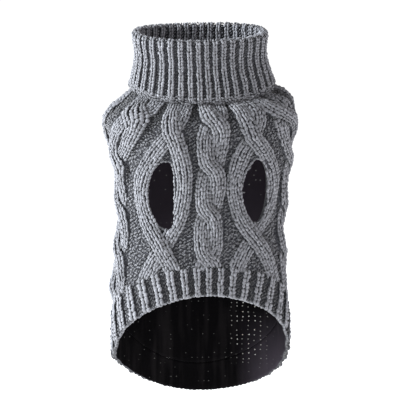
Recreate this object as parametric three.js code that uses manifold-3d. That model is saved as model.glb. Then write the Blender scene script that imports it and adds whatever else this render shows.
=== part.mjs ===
// A dog sweater in chunky cable knit, in its worn form with nobody in it, standing neck up.
// Units are millimetres. +Z points to the neck and the belly side faces -Y. The origin is the
// middle of the neck opening near the neck seam, where the wearer's neck carries the sweater.
// The pieces are a belly panel with two leg openings, a back panel that wraps the sides, a ribbed
// hem band on each of them, and a ribbed roll collar folded down on itself.
import * as THREE from "three";
import { mergeVertices } from "three/addons/utils/BufferGeometryUtils.js";
import Module from "manifold-3d";

// Driving dimensions of the cloth
const CLOTH = 3;
const SEAM_GAP = 0.35;
const YARN_GREY = 0x85878d;

// Sections of the body's ground cloth at its outer face. h is the height before the neckline's dip,
// half is half the width, and front and back are the depths on the belly and the back side.
const BODY_SECTIONS = [
  { h: 16, half: 52.6, front: 33.6, back: 33.6 },
  { h: 10, half: 54.6, front: 34, back: 34.6 },
  { h: 5, half: 61, front: 38.2, back: 37.6 },
  { h: 0, half: 68.4, front: 43, back: 41.5 },
  { h: -6, half: 73.5, front: 46.4, back: 44 },
  { h: -13, half: 75.4, front: 48.2, back: 45.6 },
  { h: -22, half: 74.2, front: 49, back: 46.2 },
  { h: -36, half: 71.2, front: 48.8, back: 46.6 },
  { h: -56, half: 68.2, front: 47.6, back: 46 },
  { h: -80, half: 65.3, front: 45.6, back: 45 },
  { h: -104, half: 64.2, front: 44, back: 44.6 },
  { h: -128, half: 66.2, front: 44, back: 46 },
  { h: -152, half: 68.4, front: 45, back: 47.2 },
  { h: -176, half: 70, front: 46.4, back: 48 },
  { h: -210, half: 70.6, front: 47.4, back: 48 },
  { h: -244, half: 69.6, front: 47.4, back: 47 },
];
// A section is a flattened round: this power of a superellipse, where 2 is a plain ellipse
const SECTION_POWER = 2.4;
// How far the ring's angle runs ahead of its arc length on these flattened sections
const FLATTENING = 0.1;

// Neckline, shoulders, hem and their slopes. The right shoulder sits a little higher than the left,
// and the hem's lowest point lies a little to the right of the back's middle.
const NECK_SEAM_H = 14;
const NECK_DIP = 6;
const NECK_SCOOP = 3;
const DIP_ENDS_H = -30;
const SHOULDER_TILT = 5.2;
const SHOULDER_SHIFT = 0.4;
const SHIFT_FULL_BELOW_H = -6;
const SHIFT_FULL_FROM_H = -12;
const SHIFT_ENDS_H = 10;
const TILT_ENDS_H = -40;
const HEM_SIDE_Z = -206.6;
const BELLY_ARCH = 53.6;
const BACK_DROP = 31.3;
const BACK_FULLNESS = 0.34;
const BACK_SKEW_DEG = 9;
const HEM_CORNER = 0.2;
const BAND_HEIGHT = 22;
const BAND_SIDE_EXTRA = 14;
const RIB_LEAN_DEG = 8;

// Where each cable and the side seams run, in degrees round the body from the belly's middle: at
// the neck, and from the chest down. They draw together over the shoulders. The two strands of a
// cable swing apart and cross again every pitch, one crossing being at the height that it names.
const DRAW_IN_TOP_H = 5;
const DRAW_IN_END_H = -45;
const SIDE_SEAM = { atNeck: 38.5, below: 65, drawnTo: -70 };
const ROPE = { swing: 6.2, strand: 6.5, pitch: 36.8, crossing: -13.3, lift: 3.1, over: 1.8 };
const OVAL = { swing: 15, strand: 6, pitch: 90, crossing: -24, lift: 3.1, over: 1.6 };
// Above its first crossing an oval cable's strands lie side by side
const ABOVE_OVALS = { swing: 5.4, pitch: 56 };
const OVAL_SWINGS_OVER = 10;
const CABLES = [
  { ...ROPE, atNeck: 3.6, below: -0.6, drawnTo: -110 },
  { ...OVAL, atNeck: -25, below: -38, drawnTo: -80, crossing: -22, pitch: 94, swing: 16.6 },
  { ...OVAL, atNeck: 30, below: 38, drawnTo: -75, crossing: -27, pitch: 80, swing: 17.2 },
  { ...ROPE, atNeck: -54, below: -84, drawnTo: -68, crossing: -10, swing: 8.5 },
  { ...ROPE, atNeck: 53, below: 82, drawnTo: -60, crossing: -10, swing: 8.5 },
  { ...OVAL, atNeck: -101, below: -130, drawnTo: -75 },
  { ...OVAL, atNeck: 101, below: 130, drawnTo: -75 },
  { ...ROPE, atNeck: 180, below: 180 },
];
// How quickly the strands pass each other at a crossing: near 0 they follow a plain wave
const ROPE_SHARPNESS = 1.6;
const OVAL_SHARPNESS = 1e-3;
const STRAND_SQUARENESS = 0.45;
// How much a strand widens by its slant, which is reckoned with this arc length of the girth
const STRAND_MM_IN_A_DEGREE = 1.1;
const CABLE_FADE_NECK = 16;
const CABLE_FADE_HEM = 20;
const CABLE_AT_HEM = 0.3;

// Leg openings, between the strands of the belly's two oval cables. rounding is 0.5 for an ellipse
// and less for blunter ends.
const LEG_HOLES = [
  { deg: -38.8, z: -72.4, halfWidth: 11, halfHeight: 27.4, bow: 4.6, rounding: 0.4 },
  { deg: 39.2, z: -70, halfWidth: 12, halfHeight: 25.8, bow: 1, rounding: 0.54 },
];
const LEG_CUT_REACH = 24;
const LEG_HOLE_POINTS = 28;

// Ribs
const HEM_RIBS = 34;
const HEM_RIB_HEIGHT = 2.2;
const COLLAR_RIBS = 40;
const COLLAR_RIB_HEIGHT = 1.6;
// Columns of one rib: where each lies in the rib's pitch, and the share of the rib's height there
const HEM_RIB_COLUMNS = [
  { at: -0.3, rise: 0 },
  { at: -0.16, rise: 1 },
  { at: 0.16, rise: 1 },
  { at: 0.3, rise: 0 },
];
const COLLAR_RIB_COLUMNS = [
  { at: -0.22, rise: 1 },
  { at: 0.22, rise: 1 },
  { at: 0.5, rise: 0 },
];

// Roll collar: u runs from the fold's lower edge at 0 to its rim at 1, half is over the ribs
const COLLAR_SECTIONS = [
  { u: 0, half: 59 },
  { u: 0.12, half: 57.4 },
  { u: 0.3, half: 55.7 },
  { u: 0.5, half: 53.5 },
  { u: 0.68, half: 52.9 },
  { u: 0.86, half: 54 },
  { u: 1, half: 54.4 },
];
const COLLAR_FLATTER_BY = 19;
const FOLD_SHIFT = 1.5;
const FOLD_EDGE_H = 12.6;
const FOLD_SAG = 3.2;
const RIM_Z = 56.4;
const RIM_TILT = 5;
const RIM_SCOOP = 1;
const RIM_SIDE_TILT = 0.5;
const COLLAR_TILT = 1.5;
const RIM_RADIUS = 3.1;
const FOLD_THICKNESS = 2.9;
const STAND_THICKNESS = 2.4;
const STAND_HALF_AT_SEAM = 50.4;
const FOLD_MEETS_STAND_U = 0.93;
// Rows of the collar's ribbed sheet: up the fold, then by the turn over the rim in degrees. depth is
// the share of the ribs' full height.
const COLLAR_RIB_ROWS = [
  { u: 0, depth: 0.6 },
  { u: 0.12, depth: 1 },
  { u: 0.36, depth: 1 },
  { u: 0.68, depth: 1 },
  { u: 1, depth: 1 },
];
const RIM_RIB_ROWS = [
  { turn: 50, depth: 1 },
  { turn: 90, depth: 0.8 },
  { turn: 130, depth: 0.4 },
];

// Rows and columns of the panels
const BELLY_COLUMNS = 58;
const BACK_COLUMNS = 78;
const PANEL_ROWS = 38;
const INSIDE_ROWS = [0, 1, 2, 3, 4, 6, 8, 12, 18, 25, 32, 38];
const INSIDE_EVERY = 2;
const ROW_CROWDING = 1.2;
const BAND_ROWS = 2;

const radians = THREE.MathUtils.degToRad;
const mix = THREE.MathUtils.lerp;
const smooth = THREE.MathUtils.smoothstep;

// The value of one column of a table at x, on a smooth curve through its rows.
function along(table, keyName, name, x) {
  const keys = table.map((row) => row[keyName]);
  const sign = Math.sign(keys[keys.length - 1] - keys[0]);
  let i = keys.findIndex((key, n) => n > 0 && (key - x) * sign >= 0) - 1;
  if (i < 0) i = x * sign < keys[0] * sign ? 0 : keys.length - 2;
  const slope = (n) => {
    const low = Math.max(n - 1, 0);
    const high = Math.min(n + 1, table.length - 1);
    return (table[high][name] - table[low][name]) / (keys[high] - keys[low]);
  };
  const step = keys[i + 1] - keys[i];
  const s = THREE.MathUtils.clamp((x - keys[i]) / step, 0, 1);
  const [s2, s3] = [s * s, s * s * s];
  return (
    (2 * s3 - 3 * s2 + 1) * table[i][name] +
    (s3 - 2 * s2 + s) * step * slope(i) +
    (3 * s2 - 2 * s3) * table[i + 1][name] +
    (s3 - s2) * step * slope(i + 1)
  );
}

// The section's own angle for a place given in degrees of arc from the belly's middle.
function sectionAngle(deg) {
  const arc = radians(deg);
  return arc - FLATTENING * Math.sin(2 * arc);
}

// How much the neckline lies lower in front and higher behind, at full neck height.
function neckDip(cosine) {
  return -NECK_DIP * cosine - NECK_SCOOP * cosine * cosine;
}

// A ramp that follows x above 0 and lies at 0 below it, with a soft corner.
function softRamp(x) {
  return (x + Math.hypot(x, HEM_CORNER)) / 2;
}

function hemZ(deg) {
  const before = softRamp(Math.cos(sectionAngle(deg)));
  const behind = softRamp(-Math.cos(sectionAngle(deg + BACK_SKEW_DEG))) ** 2;
  const drop = behind * (1 + BACK_FULLNESS * (1 - behind));
  return HEM_SIDE_Z + BELLY_ARCH * before - BACK_DROP * drop;
}

function bandTopZ(deg) {
  return hemZ(deg) + BAND_HEIGHT + BAND_SIDE_EXTRA * Math.sin(sectionAngle(deg)) ** 2;
}

// The direction of a section's angle, squared off a little towards its corners.
function onSection(angle) {
  const [x, y] = [Math.sin(angle), Math.cos(angle)];
  const size = Math.abs(x) ** SECTION_POWER + Math.abs(y) ** SECTION_POWER;
  return new THREE.Vector2(x, y).multiplyScalar(size ** (-1 / SECTION_POWER));
}

// The height of the place that the sections put at h.
function groundZ(deg, h) {
  const angle = sectionAngle(deg);
  const dipped = neckDip(Math.cos(angle)) * smooth(h, DIP_ENDS_H, NECK_SEAM_H);
  const tilted = smooth(h, TILT_ENDS_H, 0) * (1 - smooth(h, 0, NECK_SEAM_H));
  return h + dipped + SHOULDER_TILT * Math.sin(angle) * tilted;
}

// A point of the ground cloth's outer face.
function ground(deg, h) {
  const angle = sectionAngle(deg);
  const depth = mix(
    along(BODY_SECTIONS, "h", "back", h),
    along(BODY_SECTIONS, "h", "front", h),
    smooth(Math.cos(angle), -0.5, 0.5),
  );
  const place = onSection(angle);
  const half = along(BODY_SECTIONS, "h", "half", h);
  const risen = smooth(h, TILT_ENDS_H, SHIFT_FULL_FROM_H);
  const shifted = risen * (1 - smooth(h, SHIFT_FULL_BELOW_H, SHIFT_ENDS_H));
  const x = half * place.x + SHOULDER_SHIFT * shifted;
  return new THREE.Vector3(x, -depth * place.y, groundZ(deg, h));
}

// The outward normal of the ground cloth.
function groundNormal(deg, h) {
  const step = 0.5;
  const round = ground(deg + step, h).sub(ground(deg - step, h));
  const up = ground(deg, h + step).sub(ground(deg, h - step));
  return round.cross(up).normalize();
}

// A place in the pattern: it spreads from where it is at the neck to where it is on the chest.
function placeAt({ atNeck, below, drawnTo = DRAW_IN_END_H }, h) {
  return mix(below, atNeck, smooth(h, drawnTo, DRAW_IN_TOP_H));
}

// The two strands of a cable where the sections are at h and the height is z: where each lies, in
// degrees, how high it rises, and half its width, which is the greater the more it slants. The
// strand that runs to the right on its way down is in front.
function strandsAt(cable, h, z) {
  const wide = cable.swing > OVAL_SWINGS_OVER;
  const { swing, pitch } = wide && z > cable.crossing ? ABOVE_OVALS : cable;
  const turn = (Math.PI * (cable.crossing - z)) / pitch + Math.PI / 2;
  const sharpness = wide ? OVAL_SHARPNESS : ROPE_SHARPNESS;
  const bent = Math.tanh(sharpness * Math.cos(turn));
  const share = bent / Math.tanh(sharpness);
  const steepness = ((1 - bent * bent) * sharpness * Math.sin(turn)) / Math.tanh(sharpness);
  const slant = (steepness * swing * STRAND_MM_IN_A_DEGREE * Math.PI) / pitch;
  const nearness = wide ? Math.sin(turn) ** 5 : Math.sin(turn);
  const middle = placeAt(cable, h);
  return [-1, 1].map((side) => ({
    at: middle + side * swing * share,
    lift: cable.lift - side * cable.over * nearness,
    half: cable.strand * Math.hypot(1, slant),
  }));
}

// The share of its full height that a cable has between the neck seam and the hem band.
function cableShare(deg, h) {
  const fromNeck = 1 - smooth(h, NECK_SEAM_H - CABLE_FADE_NECK, NECK_SEAM_H);
  const fromBand = smooth(h - bandTopZ(deg), 0, CABLE_FADE_HEM);
  return fromNeck * mix(CABLE_AT_HEM, 1, fromBand);
}

// The cables' rise over the ground cloth.
function relief(deg, h) {
  let rise = 0;
  const z = groundZ(deg, h);
  for (const cable of CABLES) {
    for (const strand of strandsAt(cable, h, z)) {
      let apart = Math.abs(deg - strand.at) % 360;
      apart = Math.min(apart, 360 - apart) / strand.half;
      if (apart < 1) rise = Math.max(rise, strand.lift * (1 - apart * apart) ** STRAND_SQUARENESS);
    }
  }
  return rise * cableShare(deg, h);
}

// Faces between a fine edge and a coarse one. places says where in the fine edge each point of the
// coarse one belongs.
function zip(fine, coarse, places, face) {
  for (let k = 0; k + 1 < coarse.length; k++) {
    for (let i = places[k]; i < places[k + 1]; i++) face(coarse[k], fine[i + 1], fine[i]);
    face(coarse[k], coarse[k + 1], fine[places[k + 1]]);
  }
}

// A closed wall from an outer sheet of points and a coarser inner one. insideColumns gives the outer
// column of each inner column. A sheet that closes on itself has no insideRows and no side edges,
// and otherwise they give the outer row of each inner row.
function wall(outer, inner, insideColumns, insideRows) {
  const closed = !insideRows;
  const [wide, narrow] = [outer[0].length, inner[0].length];
  const columns = closed ? wide + 1 : wide;
  const places = closed ? [...insideColumns, wide] : insideColumns;
  const out = (row, column) => row * wide + (column % wide);
  const within = (row, k) => (outer.length * wide) + row * narrow + (k % narrow);
  const faces = [];
  const face = (a, b, c) => faces.push(a, b, c);
  const turned = (a, b, c) => faces.push(a, c, b);
  for (let r = 0; r + 1 < outer.length; r++)
    for (let c = 0; c + 1 < columns; c++) {
      face(out(r, c), out(r + 1, c), out(r + 1, c + 1));
      face(out(r, c), out(r + 1, c + 1), out(r, c + 1));
    }
  for (let r = 0; r + 1 < inner.length; r++)
    for (let k = 0; k + 1 < places.length; k++) {
      face(within(r, k), within(r, k + 1), within(r + 1, k + 1));
      face(within(r, k), within(r + 1, k + 1), within(r + 1, k));
    }
  const outerRow = (row) => [...Array(columns).keys()].map((c) => out(row, c));
  const innerRow = (row) => places.map((_, k) => within(row, k));
  zip(outerRow(0), innerRow(0), places, turned);
  zip(outerRow(outer.length - 1), innerRow(inner.length - 1), places, face);
  if (!closed) {
    const outerColumn = (c) => outer.map((_, row) => out(row, c));
    const innerColumn = (k) => inner.map((_, row) => within(row, k));
    zip(outerColumn(0), innerColumn(0), insideRows, face);
    zip(outerColumn(wide - 1), innerColumn(narrow - 1), insideRows, turned);
  }
  return geometryOf([...outer.flat(), ...inner.flat()], faces);
}

function geometryOf(points, faces) {
  const geometry = new THREE.BufferGeometry().setFromPoints(points);
  geometry.setIndex(faces);
  geometry.computeVertexNormals();
  return geometry;
}

// A cable panel between two side edges, from the neck seam down to the hem band. edges gives the
// panel's first and last degree at height h.
function panel(columnCount, edges) {
  const pointAt = (row, column, offsetAt) => {
    const down = (row / PANEL_ROWS) ** ROW_CROWDING;
    const across = column / columnCount;
    const [guessFrom, guessTo] = edges(HEM_SIDE_Z);
    const floor = bandTopZ(mix(guessFrom, guessTo, across)) + SEAM_GAP / 2;
    const h = mix(NECK_SEAM_H - SEAM_GAP, floor, down);
    const [from, to] = edges(h);
    const deg = mix(from, to, across);
    return ground(deg, h).addScaledVector(groundNormal(deg, h), offsetAt(deg, h));
  };
  const columns = [...Array(columnCount + 1).keys()];
  const rows = [...Array(PANEL_ROWS + 1).keys()];
  const insideColumns = columns.filter((c) => c % INSIDE_EVERY === 0);
  const outer = rows.map((r) => columns.map((c) => pointAt(r, c, relief)));
  const inside = () => -CLOTH;
  const inner = INSIDE_ROWS.map((r) => insideColumns.map((c) => pointAt(r, c, inside)));
  return wall(outer, inner, insideColumns, INSIDE_ROWS);
}

// Half the gap at a side seam, in degrees of the body's girth. The seams slant over the shoulders,
// so it is measured a little wide.
const MM_IN_A_DEGREE = 0.75;
const HALF_GAP_DEG = SEAM_GAP / 2 / MM_IN_A_DEGREE;

function bellyEdges(h) {
  const seam = placeAt(SIDE_SEAM, h) - HALF_GAP_DEG;
  return [-seam, seam];
}

function backEdges(h) {
  const seam = placeAt(SIDE_SEAM, h) + HALF_GAP_DEG;
  return [seam, 360 - seam];
}

// A ribbed hem band between two edges given in degrees along its top.
function hemBand(from, to) {
  const firstRib = Math.ceil((from / 360) * HEM_RIBS - HEM_RIB_COLUMNS[0].at);
  const lastRib = Math.floor((to / 360) * HEM_RIBS - HEM_RIB_COLUMNS.at(-1).at);
  const columns = [{ deg: from, rise: 0 }];
  for (let rib = firstRib; rib <= lastRib; rib++)
    for (const { at, rise } of HEM_RIB_COLUMNS)
      columns.push({ deg: ((rib + at) / HEM_RIBS) * 360, rise });
  columns.push({ deg: to, rise: 0 });
  const pointAt = (row, { deg, rise }, outside) => {
    const down = row / BAND_ROWS;
    const edgeDeg = deg - RIB_LEAN_DEG * Math.sin(radians(deg));
    const z = mix(bandTopZ(deg) - SEAM_GAP / 2, hemZ(edgeDeg), down);
    const at = mix(deg, edgeDeg, down);
    const offset = outside ? rise * HEM_RIB_HEIGHT * (down < 1 ? 1 : 0.7) : -CLOTH;
    return ground(at, z).addScaledVector(groundNormal(at, z), offset);
  };
  const rows = [...Array(BAND_ROWS + 1).keys()];
  const insideColumns = [...columns.keys()].filter((c) => c % INSIDE_EVERY === 1 || c === 0);
  insideColumns.push(columns.length - 1);
  const outer = rows.map((row) => columns.map((column) => pointAt(row, column, true)));
  const inner = rows.map((row) => insideColumns.map((c) => pointAt(row, columns[c], false)));
  return wall(outer, inner, insideColumns, rows);
}

// A point of the collar. half is half the ring's width there, z gives its height by the ring's
// angle, and shift is how far the ring's middle lies to the right.
function ringPoint(deg, { half, z, shift = 0 }) {
  const angle = sectionAngle(deg);
  const place = onSection(angle);
  const y = -(half - COLLAR_FLATTER_BY) * place.y;
  return new THREE.Vector3(half * place.x + shift, y, z(angle));
}

function rimZ(angle) {
  const [across, ahead] = [Math.sin(angle), Math.cos(angle)];
  const scooped = RIM_Z - RIM_RADIUS - RIM_SCOOP * ahead * ahead;
  return scooped - RIM_TILT * ahead + RIM_SIDE_TILT * across;
}

function foldEdgeZ(angle) {
  const sag = FOLD_SAG * Math.cos(angle) ** 2;
  return FOLD_EDGE_H - sag + neckDip(Math.cos(angle)) + COLLAR_TILT * Math.sin(angle);
}

// The roll collar: one ring of cloth. Its ribbed sheet runs up the fold's face and over the rim. Its
// plain sheet runs up between the two layers, down to the neck seam and up the inside of the stand.
function rollCollar() {
  const foldZ = (u) => (angle) => mix(foldEdgeZ(angle), rimZ(angle), u);
  const standZ = (u) => (angle) => mix(NECK_SEAM_H + neckDip(Math.cos(angle)), rimZ(angle), u);
  const foldHalf = (u) => along(COLLAR_SECTIONS, "u", "half", u);
  const foldShift = (u) => FOLD_SHIFT * (1 - smooth(u, 0, FOLD_MEETS_STAND_U));
  const foldRow = (u, depth) => ({ half: foldHalf(u), z: foldZ(u), shift: foldShift(u), depth });
  const behindFold = (u) => ({ ...foldRow(u), half: foldHalf(u) - FOLD_THICKNESS });
  const rimInside = foldHalf(1) - 2 * RIM_RADIUS;
  const standHalf = (u) => mix(STAND_HALF_AT_SEAM, rimInside, u);
  const overRim = ({ turn, depth }) => ({
    half: foldHalf(1) - RIM_RADIUS * (1 - Math.cos(radians(turn))),
    z: (angle) => rimZ(angle) + RIM_RADIUS * Math.sin(radians(turn)),
    depth,
  });
  const ribbed = [
    ...COLLAR_RIB_ROWS.map(({ u, depth }) => foldRow(u, depth)),
    ...RIM_RIB_ROWS.map(overRim),
    { half: rimInside, z: rimZ, depth: 0 },
  ];
  const plain = [
    ...[0, 0.4, FOLD_MEETS_STAND_U].map(behindFold),
    ...[FOLD_MEETS_STAND_U, 0.5, 0].map((u) => ({ half: standHalf(u) + STAND_THICKNESS, z: standZ(u) })),
    ...[0, 0.5].map((u) => ({ half: standHalf(u), z: standZ(u) })),
  ];
  const columns = [];
  for (let rib = 0; rib < COLLAR_RIBS; rib++)
    for (const { at, rise } of COLLAR_RIB_COLUMNS)
      columns.push({ deg: ((rib + at) / COLLAR_RIBS) * 360, rise });
  const insideColumns = [...columns.keys()].filter((c) => c % COLLAR_RIB_COLUMNS.length === 0);
  const furrowed = (row, rise) => row.half - COLLAR_RIB_HEIGHT * row.depth * (1 - rise);
  const outer = ribbed
    .map((row) => columns.map(({ deg, rise }) => ringPoint(deg, { ...row, half: furrowed(row, rise) })))
    .reverse();
  const inner = plain
    .map((row) => insideColumns.map((c) => ringPoint(columns[c].deg, row)))
    .reverse();
  return wall(outer, inner, insideColumns);
}

const wasm = await Module();
wasm.setup();

function solidOf(geometry) {
  const bare = geometry.clone();
  bare.deleteAttribute("normal");
  bare.deleteAttribute("uv");
  const merged = mergeVertices(bare, 1e-4);
  const vertProperties = merged.attributes.position.array;
  const triVerts = new Uint32Array(merged.index.array);
  return new wasm.Manifold(new wasm.Mesh({ numProp: 3, vertProperties, triVerts }));
}

function geometryFrom(solid) {
  const made = solid.getMesh();
  const geometry = new THREE.BufferGeometry();
  geometry.setAttribute("position", new THREE.BufferAttribute(made.vertProperties, 3));
  geometry.setIndex(new THREE.BufferAttribute(made.triVerts, 1));
  geometry.computeVertexNormals();
  return geometry;
}

// The upright oval that a leg opening is cut with, as a block through the wall. bow is how far its
// two ends lie to the right of its middle.
function legCutter({ deg, z, halfWidth, halfHeight, bow, rounding }) {
  const outline = new THREE.Shape();
  for (let k = 0; k < LEG_HOLE_POINTS; k++) {
    const turn = (2 * Math.PI * k) / LEG_HOLE_POINTS;
    const [across, rise] = [Math.cos(turn), Math.sin(turn)];
    const oval = halfWidth * Math.sign(across) * (1 - rise * rise) ** rounding;
    const x = oval + bow * rise * rise;
    if (k === 0) outline.moveTo(x, halfHeight * rise);
    else outline.lineTo(x, halfHeight * rise);
  }
  const block = new THREE.ExtrudeGeometry(outline, { depth: 2 * LEG_CUT_REACH, bevelEnabled: false });
  block.translate(0, 0, -LEG_CUT_REACH);
  const normal = groundNormal(deg, z).setZ(0).normalize();
  const up = new THREE.Vector3(0, 0, 1);
  const turned = new THREE.Matrix4().makeBasis(up.clone().cross(normal), up, normal);
  return block.applyMatrix4(turned.setPosition(ground(deg, z)));
}

function bellyPanel() {
  const whole = solidOf(panel(BELLY_COLUMNS, bellyEdges));
  const cut = LEG_HOLES.reduce((solid, hole) => solid.subtract(solidOf(legCutter(hole))), whole);
  return geometryFrom(cut);
}

const yarn = new THREE.MeshStandardMaterial({ color: YARN_GREY, roughness: 0.95, metalness: 0 });

function piece(name, geometry) {
  const mesh = new THREE.Mesh(geometry, yarn.clone());
  mesh.name = name;
  return mesh;
}

const sweater = new THREE.Group();
sweater.add(piece("belly_panel", bellyPanel()));
sweater.add(piece("back_panel", panel(BACK_COLUMNS, backEdges)));
sweater.add(piece("belly_hem_band", hemBand(...bellyEdges(HEM_SIDE_Z))));
sweater.add(piece("back_hem_band", hemBand(...backEdges(HEM_SIDE_Z))));
sweater.add(piece("roll_collar", rollCollar()));

export default sweater;
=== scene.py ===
"""A dog sweater in chunky cable knit, filled out in its worn form with nobody in it.

The cloth is a thin shell for each piece that a maker would sew, and the stitches on it are yarn
of their own: two slanting legs to a knit stitch, a bump to a purl stitch and a bead to each
stitch of an edge. Lengths are millimetres until a mesh is made. Places on the body are given in
degrees round it from the belly's middle, and by the height h of its sections.
"""

import logging
import math
from dataclasses import dataclass, fields, replace
from enum import Enum
from typing import NamedTuple

import bpy
import numpy as np
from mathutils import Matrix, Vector


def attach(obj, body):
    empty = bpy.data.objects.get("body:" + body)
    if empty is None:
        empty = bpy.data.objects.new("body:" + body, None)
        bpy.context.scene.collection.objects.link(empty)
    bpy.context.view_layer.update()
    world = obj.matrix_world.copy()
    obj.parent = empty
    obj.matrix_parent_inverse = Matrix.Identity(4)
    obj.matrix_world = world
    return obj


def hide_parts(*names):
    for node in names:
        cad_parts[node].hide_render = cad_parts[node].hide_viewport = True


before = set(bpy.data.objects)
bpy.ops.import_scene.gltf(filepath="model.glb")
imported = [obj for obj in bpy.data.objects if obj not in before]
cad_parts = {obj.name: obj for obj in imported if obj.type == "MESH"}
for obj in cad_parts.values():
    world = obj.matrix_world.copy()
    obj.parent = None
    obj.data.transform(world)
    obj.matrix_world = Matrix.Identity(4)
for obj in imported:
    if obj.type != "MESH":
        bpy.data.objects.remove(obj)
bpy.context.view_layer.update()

MM = 0.001
BODY = "root"
NECK_EDGE_GAP = 0.2
SEAM_GAP = 0.02
log = logging.getLogger("sweater")


def mix(a: np.ndarray, b: np.ndarray, t: np.ndarray) -> np.ndarray:
    """Values between a and b, at the share t of the way."""
    return a + (b - a) * t


def smooth(x: np.ndarray, low: float, high: float) -> np.ndarray:
    """A soft step from 0 at low to 1 at high."""
    t = np.clip((x - low) / (high - low), 0, 1)
    return t * t * (3 - 2 * t)


def unit(vectors: np.ndarray) -> np.ndarray:
    """The vectors at length 1."""
    return vectors / np.linalg.norm(vectors, axis=-1, keepdims=True)


def along(keys: np.ndarray, values: np.ndarray, x: np.ndarray) -> np.ndarray:
    """A smooth curve through the rows of a table.

    Args:
        keys: where each row lies.
        values: the row's value.
        x: where the curve is read.

    Returns:
        The curve's values at x.
    """
    order = np.argsort(keys)
    k, v = np.asarray(keys, float)[order], np.asarray(values, float)[order]
    low = np.maximum(np.arange(len(k)) - 1, 0)
    high = np.minimum(np.arange(len(k)) + 1, len(k) - 1)
    slope = (v[high] - v[low]) / (k[high] - k[low])
    i = np.clip(np.searchsorted(k, x) - 1, 0, len(k) - 2)
    step = k[i + 1] - k[i]
    s = np.clip((x - k[i]) / step, 0, 1)
    return (
        (2 * s**3 - 3 * s**2 + 1) * v[i]
        + (s**3 - 2 * s**2 + s) * step * slope[i]
        + (3 * s**2 - 2 * s**3) * v[i + 1]
        + (s**3 - s**2) * step * slope[i + 1]
    )


class Section(NamedTuple):
    """A level section of the ground cloth: half its width, and its depths before and behind."""

    h: float
    half: float
    front: float
    back: float


class Crease(NamedTuple):
    """A soft trough in the cloth: its middle, its run's slant, and its size in millimetres."""

    deg: float
    h: float
    slant: float
    length: float
    width: float
    depth: float


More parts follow.
